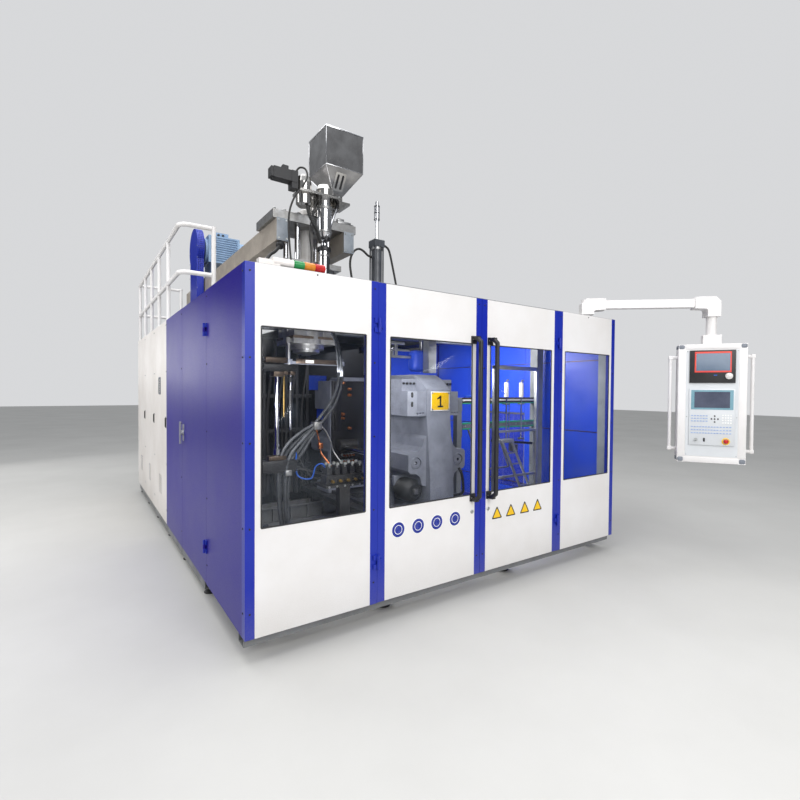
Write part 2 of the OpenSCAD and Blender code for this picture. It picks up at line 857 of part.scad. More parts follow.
// Push-out cylinder on the head's carrier plate, through the top plate
module push_out_cylinder() {
    h = platform_top + top_plate + 120 - carrier_z - carrier_t;
    color("gainsboro") place() translate([die_x, part_y, carrier_z + carrier_t]) rotate_extrude()
        polygon([[0, 0], [push_d / 2, 0], [push_d / 2, 30], [push_d / 2 - 10, 36], [push_d / 2 - 10, h - 50],
            [push_d / 2, h - 46], [push_d / 2, h - 8], [push_d / 2 - 8, h], [0, h]]);
}

// Bolt heads on a circle of diameter d, standing on height z
module bolt_ring(d, n, z, across, h) {
    for (i = [0.5 : n]) rotate(i * 360 / n) translate([d / 2, 0, z]) cylinder(d = across, h = h, $fn = 6);
}

// Accumulator head: clamp plate and square block below, round barrel, carrier plate on top,
// inlet neck at the back and the cutter's pivot beside the die
module die_head() {
    r = head_d / 2;
    w = head_block_w / 2;
    c = carrier_w / 2;
    pivot = [cutter_x - die_x, cutter_y - part_y];
    color("silver") place() {
        translate([die_x, part_y, 0]) {
            rotate_extrude() polygon([[0, head_low], [r - 50, head_low], [r - 50, clamp_plate_z + 5],
                [r, clamp_plate_z + 5], [r, head_top - 80], [r + flange_more, head_top - 75],
                [r + flange_more, head_top], [0, head_top]]);
            span([-w - 8, -w - 8, clamp_plate_z], [w + 8, w + 8, head_block_z]);
            span([-w, -w, head_block_z - 1], [w, w, head_block_z + head_block_h]);
            bolt_ring(head_d + flange_more, 12, head_top - 93, 36, 18);
            for (a = [0, 90, 180, 270]) for (i = [-1.5 : 1.5]) rotate(a)
                translate([i * w / 2, -w + 1, head_block_z + head_block_h / 2]) rotate([90, 0, 0])
                    cylinder(d = 30, h = 16, $fn = 12);
            span([pivot[0] - 30, pivot[1] - 30, clamp_plate_z], [-w, pivot[1] + 30, head_block_z - 10]);
        }
        span([die_x - c, part_y - 200, carrier_z], [die_x + c, part_y + 200, carrier_z + carrier_t]);
        rod_y([die_x, part_y + r - 30, screw_z], barrel_d + 2 * barrel_flange, 110);
        translate([cutter_x, cutter_y, cutter_z - 16]) {
            cylinder(d = 60, h = 16 - gap);
            cylinder(d = cutter_pin_d, h = clamp_plate_z + 1 - cutter_z + 16);
        }
    }
}

module die_ring() {
    h = ring_h - gap;
    color("darkgray") place() translate([die_x, part_y, die_low]) {
        rotate_extrude() polygon([[62, 0], [92, 0], [125, 12], [125, h], [70, h]]);
        rotate_extrude() polygon([[0, -12], [40, -12], [58, 0], [52, h], [0, h]]);
    }
}

// Heater bands on the extruder barrel and on the head, with a terminal box on each
module heater_bands() {
    color("silver") place() {
        for (i = [0 : band_n - 1]) translate([die_x, band_y1 + i * band_pitch, screw_z]) difference() {
            union() {
                rod_y([0, 0, 0], barrel_d + 2 * band_t, band_l);
                span([barrel_d / 2, band_l / 2 - 45, -30], [barrel_d / 2 + 60, band_l / 2 + 45, 30]);
            }
            rod_y([0, -1, 0], barrel_d + 2 * gap, band_l + 2);
        }
        for (i = [0 : 1]) translate([die_x, part_y, head_band_z + i * head_band_pitch]) difference() {
            union() {
                cylinder(d = head_d + 2 * band_t, h = head_band_h);
                span([-45, -head_d / 2 - 50, 12], [45, -head_d / 2 + 10, 72]);
            }
            translate([0, 0, -1]) cylinder(d = head_d + 2 * gap, h = head_band_h + 2);
        }
    }
}

// Barrel with its front flange, and the feed throat with a square inlet on top
module extruder_barrel() {
    w = throat_w / 2;
    z = platform_top + 60;
    mid_y = throat_y1 + w;
    color("silver") place() difference() {
        union() {
            rod_y([die_x, barrel_y1, screw_z], barrel_d + 2 * barrel_flange, 40);
            rod_y([die_x, barrel_y1 + 20, screw_z], barrel_d, reducer_y - barrel_y1 - 20);
            span([die_x - w, throat_y1, screw_z - w], [die_x + w, throat_y1 + throat_w, screw_z + w]);
            span([die_x - 70, mid_y - 70, screw_z + w - 5], [die_x + 70, mid_y + 70, z]);
            span([die_x - 100, mid_y - 100, z], [die_x + 100, mid_y + 100, z + 18]);
        }
        rod_y([die_x, barrel_y1 - 1, screw_z], bore_d, throat_y1 + 150 - barrel_y1);
        span([die_x - 40, mid_y - 40, screw_z], [die_x + 40, mid_y + 40, z + 19]);
    }
}

// Extruder screw: one flight wound round a core, and a plain shank into the reducer
module extruder_screw() {
    l = screw_y2 - screw_y1;
    turns = l / screw_pitch;
    core = 26;
    tip = bore_d / 2 - 2 * gap;
    flight = concat([[tip, -4], [tip, 4]], [for (a = [30 : 50 : 330]) core * [cos(a), sin(a)]]);
    color("silver") place() translate([die_x, screw_y1, screw_z]) rotate([-90, 0, 0])
        linear_extrude(l, twist = 360 * turns, slices = ceil(turns * 8), $fn = 9) polygon(flight);
}

// Gear reducer between the beams: split housing with ribs, output flange and input shaft
module gear_reducer() {
    w = platform_gap / 2 - 15;
    y1 = reducer_y + 30;
    y2 = y1 + reducer_l;
    shaft_x = pulley_x1 + belt_w + 4;
    color("steelblue") place() {
        span([die_x - w, y1, reducer_down], [die_x + w, y2, reducer_up]);
        span([die_x - w, y1 - 10, screw_z - 20], [die_x + w, y2 + 10, screw_z + 20]);
        rod_y([die_x, reducer_y, screw_z], 2 * barrel_d + 20, 31);
        for (i = [0 : 3]) span([die_x - w + 40, y2 - 1, reducer_down + 30 + i * 110],
            [die_x + w - 40, y2 + 14, reducer_down + 50 + i * 110]);
        rod_x([shaft_x, drive_y, input_z], 60, die_x - w - shaft_x);
        for (x = [-1, 1]) span([die_x + x * (w - 60) - 60, y1 + 30, reducer_up],
            [die_x + x * (w - 60) + 60, y2 - 30, platform_top]);
    }
}

// Belt guard: a closed case round both pulleys with rows of vent holes in its front
module belt_guard() {
    x = pulley_x1;
    color("mediumblue") place() difference() {
        union() {
            rod_x([x, drive_y, motor_z], 2 * guard_r, belt_w);
            rod_x([x, drive_y, input_z], 2 * pulley_r, belt_w);
            span([x, drive_y - pulley_r, input_z], [x + belt_w, drive_y + pulley_r, motor_z]);
            translate([0, drive_y, platform_z]) span([x + belt_w - 1, -90, 50], [platform_x1, 90, 110]);
        }
        for (i = [0 : 11]) for (j = [-1 : 1])
            rod_y([x + belt_w / 2 + j * 22, drive_y - guard_r - 5, motor_z - 60 - i * 24], 11,
                guard_r - pulley_r + 60);
    }
}

// Drive motor: square frame with cooling fins, end shields, fan cowl and terminal box
module drive_motor() {
    x1 = pulley_x1 + belt_w + 8;
    x2 = x1 + 60 + motor_l;
    w = motor_w / 2;
    fin_pitch = 30;
    fin_deep = 16;
    color("lightsteelblue") place() {
        rod_x([x1 - 4, drive_y, motor_z], 60, 60);
        rod_x([x1 + 30, drive_y, motor_z], motor_w - 30, 31);
        difference() {
            span([x1 + 60, drive_y - w, motor_z - w], [x2, drive_y + w, motor_z + w]);
            for (a = [90, -90]) translate([0, drive_y, motor_z]) rotate([a, 0, 0])
                for (i = [-5 : 5]) span([x1 + 90, i * fin_pitch - 9, w - fin_deep],
                    [x2 - 30, i * fin_pitch + 9, w + 1]);
        }
        rod_x([x2 - 1, drive_y, motor_z], motor_w - 20, 111);
        for (x = [x1 + 90, x2 - 100]) translate([x, drive_y, platform_top + base_plate_t])
            span([0, -w - 30, 0], [60, w + 30, motor_stand - w + 10]);
        span([x1 + 160, drive_y - w / 2, motor_z + w - 1], [x1 + 340, drive_y + w / 2, motor_z + w + 75]);
    }
}

// Stripe extruder in front of the head's plate

// Vertical barrel with its tapered neck and the nozzle block that leads into the head
module stripe_barrel() {
    r = stripe_d / 2;
    color("gainsboro") place() translate([stripe_x, stripe_y, 0]) rotate_extrude()
        polygon([[0, head_top - 90], [48, head_top - 90], [48, 2870], [30, 2890], [30, 2930],
            [r - 20, 2950], [r, 3000], [r, 3226], [r - 14, 3232], [r - 14, stripe_z - gap],
            [0, stripe_z - gap]]);
    color("gainsboro") place() rod_y([stripe_x, stripe_y, head_top - 38], 60,
        part_y - head_d / 2 - 45 - gap - stripe_y);
}

// Mounting plate on the head's top plate, rounded gear case over the screw and its drive
module stripe_gear_case() {
    z = stripe_z;
    color("silver") place() {
        difference() {
            union() {
                span([stripe_x - 260, stripe_y - 90, z], [stripe_x + 130, stripe_y + 90, z + mount_t]);
                span([stripe_x - 40, stripe_y - 20, z], [hopper_x + 80, hopper_y + 80, z + mount_t]);
            }
            translate([hopper_x, hopper_y, z - 1]) cylinder(d = hopper_out - 30, h = 30);
        }
        feed_pipe();
        span([stripe_x - 120, stripe_y + 66, platform_top + top_plate], [stripe_x + 60, stripe_y + 90, z]);
        span([stripe_x - 120, stripe_y + 66, platform_top + top_plate],
            [stripe_x + 60, stripe_y + 170, platform_top + top_plate + 16]);
        translate([stripe_x, stripe_y, z + mount_t]) rotate_extrude() polygon([[0, 0], [74, 0], [74, 60],
            [60, 96], [36, 104], [0, 104]]);
        translate([stripe_x - 195, stripe_y, z - 100]) rotate_extrude() polygon([[0, 0], [48, 0], [66, 18],
            [67, 200], [60, 244], [36, 264], [0, 268]]);
    }
}

// Inclined pipe from the hopper's seat to the side of the stripe barrel
module feed_pipe() {
    a = [hopper_x, hopper_y, stripe_z];
    b = [stripe_x, stripe_y, 3120];
    d = b - a;
    difference() {
        translate(a) rotate([0, acos(d[2] / norm(d)), atan2(d[1], d[0])]) difference() {
            translate([0, 0, -12]) cylinder(d = 70, h = norm(d));
            translate([0, 0, -20]) cylinder(d = 60, h = norm(d) + 20);
        }
        translate([stripe_x, stripe_y, 2900]) cylinder(r = stripe_d / 2 + gap, h = 500);
        translate([hopper_x, hopper_y, stripe_z + 1]) span([-100, -100, 0], [100, 100, 60]);
    }
}

module stripe_motor() {
    x2 = stripe_x - 262;
    z = stripe_z + 120;
    color("black") place() {
        span([x2 - 58, stripe_y - 48, z - 48], [x2 - 2, stripe_y + 48, z + 48]);
        span([x2 - 210, stripe_y - 45, z - 45], [x2 - 58, stripe_y + 45, z + 45]);
        span([x2 - 232, stripe_y - 40, z - 40], [x2 - 210, stripe_y + 40, z + 40]);
        span([x2 - 130, stripe_y - 30, z + 45], [x2 - 80, stripe_y + 10, z + 80]);
        span([x2 - 56, stripe_y - 45, z - 98], [x2 - gap, stripe_y + 45, z - 48]);
    }
}

// Stainless hopper: square walls, tapered base and a discharge neck to the feed inlet
module hopper() {
    w = hopper_w / 2;
    o = hopper_out / 2;
    t = hopper_wall;
    neck_z = hopper_z - hopper_taper;
    color("gainsboro") place() {
        translate([hopper_x, hopper_y, 0]) difference() {
            union() {
                translate([0, 0, hopper_z]) span([-w, -w, 0], [w, w, hopper_h]);
                hull() {
                    translate([0, 0, hopper_z - 0.5]) span([-w, -w, 0], [w, w, 1]);
                    translate([0, 0, neck_z]) span([-o, -o, 0], [o, o, 1]);
                }
                translate([0, 0, neck_z - 70]) span([-o, -o, 0], [o, o, 71]);
                translate([0, 0, neck_z - 80]) span([-o - 25, -o - 25, 0], [o + 25, o + 25, 12]);
            }
            translate([0, 0, hopper_z]) span([-w + t, -w + t, 0], [w - t, w - t, hopper_h + 1]);
            hull() {
                translate([0, 0, hopper_z]) span([-w + t, -w + t, -0.5], [w - t, w - t, 0.5]);
                translate([0, 0, neck_z]) span([-o + t, -o + t, 0], [o - t, o - t, 1]);
            }
            translate([0, 0, neck_z - 81]) span([-o + t, -o + t, 0], [o - t, o - t, 84]);
        }
    }
}

// Blowing unit

// Two hanger beams between the roof beams, the cylinder plate, its guide columns and hose mast
module blow_station_frame() {
    z1 = hang_z;
    plate = 35;
    m = mast_w / 2;
    mid_y = col_y1 + col_w / 2;
    color("silver") place() {
        for (x = [blow_x - hang_dx, blow_x + hang_dx - hang_w])
            tube_y([x, col_y1 + col_w + gap, z1], [x + hang_w, col_y2 - gap, z1 + hang_h], column_wall);
        difference() {
            union() {
                translate([blow_x, part_y, z1]) span([-hang_dx, -130, -plate], [hang_dx, 130, -gap]);
                for (x = [-1, 1])
                    translate([blow_x + x * column_dx, part_y, z1 - 268 - blow_stroke])
                        cylinder(d = column_d, h = 269 + blow_stroke - plate);
            }
            translate([blow_x, part_y, z1 - plate - 1]) cylinder(d = blow_d + 2 * gap, h = plate + 2);
        }
        translate([mast_x, mid_y, 0])
            tube_z([-m, -m, platen_high + 30], [m, m, roof_beam_z - gap], frame_wall);
    }
}

// Cylinder: flange on its plate, tube with four tie rods and the two head blocks
module blow_cylinder() {
    z1 = hang_z;
    z2 = z1 + 25 + 60;
    r = blow_d / 2;
    b = block_side;
    color("dimgray") place() translate([blow_x, part_y, 0]) difference() {
        union() {
            translate([0, 0, z1]) cylinder(r = r + 30, h = 25);
            translate([0, 0, z1 - 30]) cylinder(r = r, h = blow_top - z1 + 30);
            span([-b, -b, z1 + 25], [b, b, z2]);
            span([-b, -b, blow_top], [b, b, blow_top + block_h]);
            for (x = [-1, 1]) for (y = [-1, 1])
                translate([x * (r - 6), y * (r - 6), z2]) cylinder(d = 16, h = blow_top - z2);
            translate([-b, 0, port_z]) rotate([0, 90, 0]) cylinder(d = hose_d + 12, h = b - r + 12);
        }
        translate([0, 0, z1 - 40]) cylinder(d = rod_d + slide_gap, h = blow_top - z1 + 40 + block_h + 1);
    }
}

// Hoses of the blowing unit, each held at both ends
module hoses() {
    color("black") place() {
        sweep(curve(blow_hose_a, 3), hose_d, 8);
        sweep(curve(blow_hose_b, 3), hose_d, 8);
    }
}

// Clamp

module carriage_rails() {
    color("silver") place() for (y = [rail_y1, rail_y2])
        span([shuttle_x1 + 10, y - rail_w / 2, rail_z], [shuttle_x2 - 10, y + rail_w / 2, rail_z + rail_t]);
}

// Carriage: welded deck on four bearing trucks that straddle the shuttle rails, with the two
// ways that the platens slide on
module carriage_frame() {
    w = deck_w / 2;
    t = truck_l / 2;
    r = rail_w / 2;
    color("dimgray") place() translate([blow_x, 0, 0]) {
        difference() {
            span([-w, deck_y1, deck_z], [w, deck_y2, deck_z + deck_t]);
            span([-150, part_y - 330, deck_z - 1], [150, part_y + 330, deck_z + deck_t + 1]);
        }
        for (y = [rail_y1, rail_y2]) for (x = [-truck_dx, truck_dx]) difference() {
            span([x - t, y - rail_bed_w / 2, rail_z + 8], [x + t, y + rail_bed_w / 2, deck_z]);
            span([x - t - 1, y - r - gap, rail_z], [x + t + 1, y + r + gap, rail_z + rail_t + gap]);
        }
        for (x = [-way_dx, way_dx])
            span([x - way_w / 2, deck_y1 + 20, way_z], [x + way_w / 2, deck_y2 - 20, way_z + way_h]);
    }
}

// Side view of the spine for a casting of reach l: stepped back at the top, bowed out towards the foot
function spine(l) = [[0, platen_low], [0, platen_high], [l - 260, platen_high], [l - 170, platen_high - 40],
    [l - 60, platen_high - 130], [l - 50, platen_high - 400], [l - 30, 1150], [l - 10, 950], [l, 800],
    [l, 700], [l - 60, 640], [l - 60, platen_foot_z], [0, platen_foot_z]];

// Casting and plate of one platen, built with its mould face at y = 0 and reaching back to
// -l - platen_t; the front one bears the tie bars' ends, the rear one runs on them
module platen(bore, l, lobe_l) {
    w = platen_w / 2;
    y1 = -platen_t;
    hole_x = spine_w / 2 + 62;
    difference() {
        union() {
            span([-w, y1, platen_low], [w, 0, plate_top]);
            translate([-spine_w / 2, y1, 0]) rotate([90, 0, 90]) linear_extrude(spine_w)
                mirror([1, 0]) polygon(spine(l));
            ear_block(l - 65);
            for (x = [-1, 1]) lobe(x * tie_span / 2, lobe_l);
            for (x = [-1, 1]) foot_block(x);
            span([-way_dx - 60, y1 - 300, platen_foot_z], [way_dx + 60, y1, platen_foot_z + 90]);
            for (x = [-way_dx, way_dx])
                span([x - 20, y1 - 240, platen_foot_z + 89], [x + 20, y1, platen_low + 1]);
        }
        for (x = [-1, 1]) translate([x * tie_span / 2, 0, tie_z]) {
            rod_y([0, y1 - l, 0], bore, l + platen_t + 1);
            rod_y([0, y1 - lobe_l - 10, 0], seat_d, seat_deep + 10);
        }
        for (x = [-1, 1]) for (z = [-1, 1])
            rod_y([x * mould_dx / 2, y1 - 1, (platen_low + plate_top) / 2 + z * mould_dz / 2],
                mould_hole_d, platen_t + 2);
        for (x = [-hole_x, hole_x]) for (k = [-30, 0, 30])
            rod_y([x + k, y1 - l + 50, ear_low + 25], 16, 40);
    }
}

// Ears each side of the spine, reaching l from the plate and chamfered in front, with a
// shorter head above them
module ear_block(l) {
    w = ear_w / 2;
    y1 = -platen_t;
    chamfer = [50, 65];
    translate([0, y1, ear_low]) linear_extrude(ear_h) polygon([[-w, 1], [-w, chamfer[1] - l],
        [chamfer[0] - w, -l], [w - chamfer[0], -l], [w, chamfer[1] - l], [w, 1]]);
    span([-w, y1 + 150 - l, ear_low + ear_h - 1], [w, y1, plate_top]);
}

// Tie bar lobe at x, l long, with a blended root towards the spine
module lobe(x, l) {
    d = sign(x);
    translate([0, -platen_t, 0]) rotate([90, 0, 0]) linear_extrude(l) translate([0, tie_z]) polygon([
        [d * 60, -230], [x - d * 60, -190], [x - d * 40, -120], [x, -90], [x + d * 60, -85],
        [x + d * 80, -60], [x + d * 80, 70], [x + d * 60, 88], [x - d * 20, 96], [x - d * 60, 130],
        [x - d * 80, 200], [d * 60, 300]]);
}

// Slide shoe of a platen on its way
module foot_block(d) {
    x = d * way_dx;
    y1 = -platen_t;
    r = way_w / 2 + gap;
    difference() {
        span([x - 60, y1 - 300, way_z + 6], [x + 60, y1, platen_foot_z + 1]);
        span([x - r, y1 - 301, way_z], [x + r, y1 + 1, platen_foot_z + gap]);
    }
}

module front_platen() {
    color("dimgray") place() translate([blow_x, part_y - daylight / 2, 0])
        platen(tie_d, cast_l + cast_more, front_lobe_l);
}

module rear_platen() {
    color("dimgray") place() translate([blow_x, part_y + daylight / 2, 0]) mirror([0, 1, 0])
        platen(tie_d + 2 * slide_gap, cast_l, rear_lobe_l);
}

// Tie bars, each held by a ring nut in the front lobe's seat, with a tapped hole in its end
module tie_bars() {
    y1 = part_y - daylight / 2 - platen_t - front_lobe_l;
    color("gainsboro") place() for (x = [-1, 1]) translate([blow_x + x * tie_span / 2, y1, tie_z])
        difference() {
            union() {
                rod_y([0, 10, 0], tie_d, part_y + tie_rear - y1 - 10);
                rod_y([0, 6, 0], seat_d - 8, seat_deep - 6 - gap);
            }
            rod_y([0, 0, 0], 26, 60);
        }
}

// Rod through the cylinder, coupling on top, crosshead on the guide columns and the blow pin
module blow_pin() {
    z1 = hang_z - 190;
    color("gainsboro") place() translate([blow_x, part_y, 0]) {
        translate([0, 0, z1]) cylinder(d = rod_d, h = blow_top + 470 - z1);
        translate([0, 0, blow_top + 280]) cylinder(d = rod_d + 24, h = 150);
        difference() {
            span([-column_dx - 55, -55, z1 - 60], [column_dx + 55, 55, z1 + 10]);
            for (x = [-column_dx, column_dx])
                translate([x, 0, z1 - 61]) cylinder(d = column_d + 2 * slide_gap, h = 72);
        }
        translate([0, 0, z1 - 250]) cylinder(d = 60, h = 195);
        translate([0, 0, z1 - 280]) cylinder(d1 = 30, d2 = 60, h = 30);
    }
}

// Parison cutter: an arm with a hub at each end, a knife holder below the die and a link stub
module cutter_arm() {
    l = 530;
    color("darkgray") place() translate([cutter_x, cutter_y, cutter_z]) difference() {
        union() {
            cylinder(d = 76, h = 44);
            translate([l, 0, 0]) cylinder(d = 60, h = 40);
            linear_extrude(26) polygon([[0, -30], [l * 0.35, -22], [l * 0.65, -22], [l, -24], [l, 24],
                [l * 0.65, 22], [l * 0.35, 22], [0, 30]]);
            span([l * 0.3, 10, 8], [l * 0.55, 95, 20]);
        }
        translate([0, 0, -1]) cylinder(d = cutter_pin_d + 2 * slide_gap, h = 50);
        translate([l, 0, -1]) cylinder(d = 20, h = 50);
    }
}

// Pneumatic manifold on a bracket behind the first front panel: a block with five valves
module valve_manifold() {
    x = 560;
    y = outrig_end - 54;
    z = 960;
    pitch = 58;
    color("silver") place() {
        tube_z([x + 100, y, bed_top], [x + 180, y + 54, z + 1], 4);
        span([x, y, z], [x + 340, y + 190, z + 16]);
        span([x + 20, y + 40, z + 15], [x + 320, y + 130, z + 75]);
        for (i = [0 : 4]) translate([x + 34 + i * pitch, y, z]) {
            span([0, 55, 74], [36, 120, 128]);
            rod_y([18, 119, 104], 30, 55);
            rod_y([18, 18, 42], 24, 24);
            rod_y([18, 5, 42], 16, 14);
        }
    }
}

// Doors

// One hinge on axis p with its barrel in three knuckles: the fixed half keeps the outer ones
// and the pin, the moving half the middle one; flap is the direction to its flap and its side
module hinge_fixed(p, flap) {
    h = hinge_l / 3;
    translate(p) {
        for (z = [-hinge_l / 2, hinge_l / 2 - h]) {
            translate([0, 0, z]) cylinder(r = hinge_r, h = h);
            hinge_flap(flap, z, h);
        }
        translate([0, 0, -hinge_l / 2]) cylinder(r = hinge_pin_r, h = hinge_l);
    }
}

module hinge_moving(p, flap) {
    h = hinge_l / 3 - 2 * gap;
    translate(p) difference() {
        union() {
            translate([0, 0, -h / 2]) cylinder(r = hinge_r, h = h);
            hinge_flap(flap, -h / 2, h);
        }
        translate([0, 0, -h]) cylinder(r = hinge_pin_r + pin_gap, h = 2 * h);
    }
}

// Flap from the barrel to the face it is screwed to, along the direction flap
module hinge_flap(flap, z, h) {
    rotate(atan2(flap[1], flap[0])) mirror([0, flap[2], 0]) span([0, 4, z], [36, -hinge_y, z + h]);
}

module hinge_bodies() {
    color("mediumblue") place() for (z = [hinge_low, hinge_high]) {
        hinge_fixed([seam_l, hinge_y, z], [-1, 0, 1]);
        hinge_fixed([seam_r, hinge_y, z], [1, 0, 0]);
        hinge_fixed([hinge_y, side_y1, z], [0, -1, 0]);
    }
}

// Frame of a front door: stiles at both sides, rails behind the sheet. s = 1 for the left leaf
module door_frame(s) {
    w = leaf_w - door_gap;
    h = panel_h - 2 * door_gap;
    p = s > 0 ? [seam_l, 0] : [seam_r, 0];
    translate([p[0], 0, base_gap + door_gap]) mirror([s > 0 ? 0 : 1, 0, 0]) {
        translate([door_gap / 2, 0, 0]) {
            tube_z([0, 0, 0], [stile_w, panel_t, h], thin_wall);
            tube_z([w - stile_w, 0, 0], [w, panel_t, h], thin_wall);
            for (z = [sheet + gap, h - sheet - gap - panel_t])
                tube_x([stile_w, sheet + gap, z], [w - stile_w, panel_t, z + panel_t], thin_wall);
        }
        for (z = [hinge_low, hinge_high])
            hinge_moving([0, hinge_y, z - base_gap - door_gap], [1, 0, 0]);
    }
}

module left_door_frame() color("mediumblue") place() door_frame(1);
module right_door_frame() color("mediumblue") place() door_frame(-1);

module door_sheet(s) {
    w = leaf_w - door_gap - 2 * stile_w;
    h = panel_h - 2 * door_gap;
    x = s > 0 ? seam_l + door_gap / 2 + stile_w : seam_r - door_gap / 2 - stile_w - w;
    translate([x, 0, base_gap + door_gap]) difference() {
        span([0, 0, 0], [w, sheet, h]);
        span([window_side, -1, window_up], [w - window_side, sheet + 1, window_up + window_h]);
    }
}

module left_door_panel() color("whitesmoke") place() door_sheet(1);
module right_door_panel() color("whitesmoke") place() door_sheet(-1);

module door_pane(s) {
    w = leaf_w - door_gap - 2 * stile_w;
    x = s > 0 ? seam_l + door_gap / 2 + stile_w : seam_r - door_gap / 2 - stile_w - w;
    translate([x, 0, base_gap + door_gap]) window_pane(w, sheet);
}

module left_door_window() color([0.6, 0.7, 0.75, 0.3]) place() door_pane(1);
module right_door_window() color([0.6, 0.7, 0.75, 0.3]) place() door_pane(-1);

// Long pull handle: tube with two bent ends on foot plates
module pull(s) {
    x = centre_x - s * (door_gap / 2 + stile_w + pull_inset);
    r = pull_d / 2;
    rise = 50;
    y = -pull_off;
    translate([x, 0, 0]) {
        translate([0, y, pull_low + rise]) cylinder(r = r, h = pull_high - pull_low - 2 * rise);
        for (e = [[pull_low, 1], [pull_high, -1]]) {
            translate([0, y, e[0] + e[1] * rise]) sphere(r = r);
            translate([0, y, e[0] + e[1] * rise])
                rotate([e[1] > 0 ? -130 : -50, 0, 0]) cylinder(r = r, h = 52);
            span([-25, -14, min(e[0], e[0] + e[1] * 60)], [25, 0, max(e[0], e[0] + e[1] * 60)]);
            span([-18, y + 20, e[0] + (e[1] > 0 ? 4 : -30)], [18, -10, e[0] + (e[1] > 0 ? 30 : -4)]);
        }
    }
}

module left_door_handle() color("black") place() pull(1);
module right_door_handle() color("black") place() pull(-1);

module side_door() {
    g = door_gap / 2;
    h = panel_h - 2 * door_gap;
    color("mediumblue") place() {
        difference() {
            span([0, side_y1 + g, base_gap + door_gap], [panel_t, side_y2 - g, base_gap + door_gap + h]);
            span([sheet, side_y1 + g + sheet, base_gap + door_gap + sheet],
                [panel_t + 1, side_y2 - g - sheet, base_gap + door_gap + h - sheet]);
            rod_x([-1, lever_y, lever_z], 24.2, 20);
        }
        for (z = [hinge_low, hinge_high]) hinge_moving([hinge_y, side_y1, z], [0, 1, 1]);
    }
}

module side_door_lever() {
    color("silver") place() {
        rod_x([-30, lever_y, lever_z], 24, 50);
        span([-34, lever_y - 14, lever_z - 100], [-22, lever_y + 14, lever_z + 100]);
        rod_x([-22, lever_y, lever_z], 44, 21.7);
    }
}

// Control station

module at_pivot() {
    translate([arm_x, arm_y, 0]) rotate(arm_a) children();
}

module at_station() {
    at_pivot() translate([arm_l, 0, 0]) rotate(panel_a - arm_a) children();
}

// Foot plate and stub of the swivel arm's pivot, on the roof
module hmi_base() {
    z = roof_top;
    color("whitesmoke") place() translate([arm_x, arm_y, 0]) {
        span([-75, -22, z], [75, 75, z + 14]);
        translate([0, 0, z + 14]) cylinder(d = pivot_d - 8, h = arm_z - 50 - z - 14 - gap);
    }
}

// Swivel arm: box tube between the pivot hub and the hub that carries the housing
module hmi_arm() {
    r = arm_w / 2;
    z = arm_z;
    color("whitesmoke") place() at_pivot() {
        translate([0, 0, z - 50]) cylinder(d = pivot_d, h = 100);
        tube_x([30, -r, z - r], [arm_l - 30, r, z + r], frame_wall);
        translate([arm_l, 0, z - 60]) cylinder(d = pivot_d, h = 110);
    }
}

// Housing with its neck and a tubular grip on each side
module hmi_housing() {
    w = station_w / 2;
    color("whitesmoke") place() at_station() {
        translate([0, 0, station_top + neck_h])
            cylinder(d = pivot_d - 14, h = arm_z - 60 - gap - station_top - neck_h);
        span([-75, -60, station_top], [75, 60, station_top + neck_h]);
        difference() {
            span([-w, -station_t / 2, station_low], [w, station_t / 2, station_top]);
            at_estop() translate([0, 0, -35]) cylinder(d = estop_stem + estop_play, h = 40);
        }
        for (x = [-w - grip_off, w + grip_off]) {
            translate([x, 0, station_low + 120]) cylinder(d = grip_d, h = station_h - 240);
            for (z = [station_low + 120, station_top - 120]) {
                translate([x, 0, z]) sphere(d = grip_d);
                rod_x([min(x, sign(x) * w), 0, z], grip_d, grip_off);
            }
        }
    }
}

// Controller and keypad on the housing's face
module hmi_controls() {
    w = control_w / 2;
    y = -station_t / 2;
    color("dimgray") place() at_station() {
        span([-w, y - keypad_t - 4, station_top - 370], [w, y, station_top - 60]);
        difference() {
            span([-w, y - keypad_t, station_low + 170], [w, y, station_top - 430]);
            at_estop() translate([0, 0, -keypad_t - 1])
                cylinder(d = estop_stem + estop_play, h = keypad_t + 2);
        }
    }
}

// Places a child with its Z axis out of the keypad's face at the emergency stop
module at_estop() {
    translate([118, -station_t / 2 - keypad_t, station_low + 212]) rotate([90, 0, 0]) children();
}

// Mushroom button with the stem that slides in the housing
module estop_button() {
    color("red") place() at_station() at_estop() rotate_extrude() polygon([[0, -20], [estop_stem / 2, -20],
        [estop_stem / 2, 9], [20, 9], [20, 18], [16, 26], [8, 30], [0, 31]]);
}

levelling_feet();
bed_beams();
clamp_bed();
enclosure_posts();
enclosure_rails();
front_panels();
front_windows();
side_wall_panels();
cabinet_panels();
partition_wall();
roof_plates();
inner_frame();
guard_rail();
signal_light_base();
signal_lens_green();
signal_lens_amber();
signal_lens_red();
platform_beams();
head_top_plate();
head_guide_rods();
push_out_cylinder();
die_head();
die_ring();
heater_bands();
extruder_barrel();
extruder_screw();
gear_reducer();
belt_guard();
drive_motor();
stripe_barrel();
stripe_gear_case();
stripe_motor();
hopper();
blow_station_frame();
blow_cylinder();
hoses();
carriage_rails();
valve_manifold();
hinge_bodies();
hmi_base();
left_door_frame();
left_door_panel();
left_door_window();
left_door_handle();
right_door_frame();
right_door_panel();
right_door_window();
right_door_handle();
side_door();
side_door_lever();
carriage_frame();
front_platen();
rear_platen();
tie_bars();
blow_pin();
cutter_arm();
hmi_arm();
hmi_housing();
hmi_controls();
estop_button();
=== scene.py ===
# Looks of the shuttle blow moulding machine: camera, light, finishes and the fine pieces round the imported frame.
import json
import math
import bmesh
import bpy
import numpy as np
from mathutils import Matrix

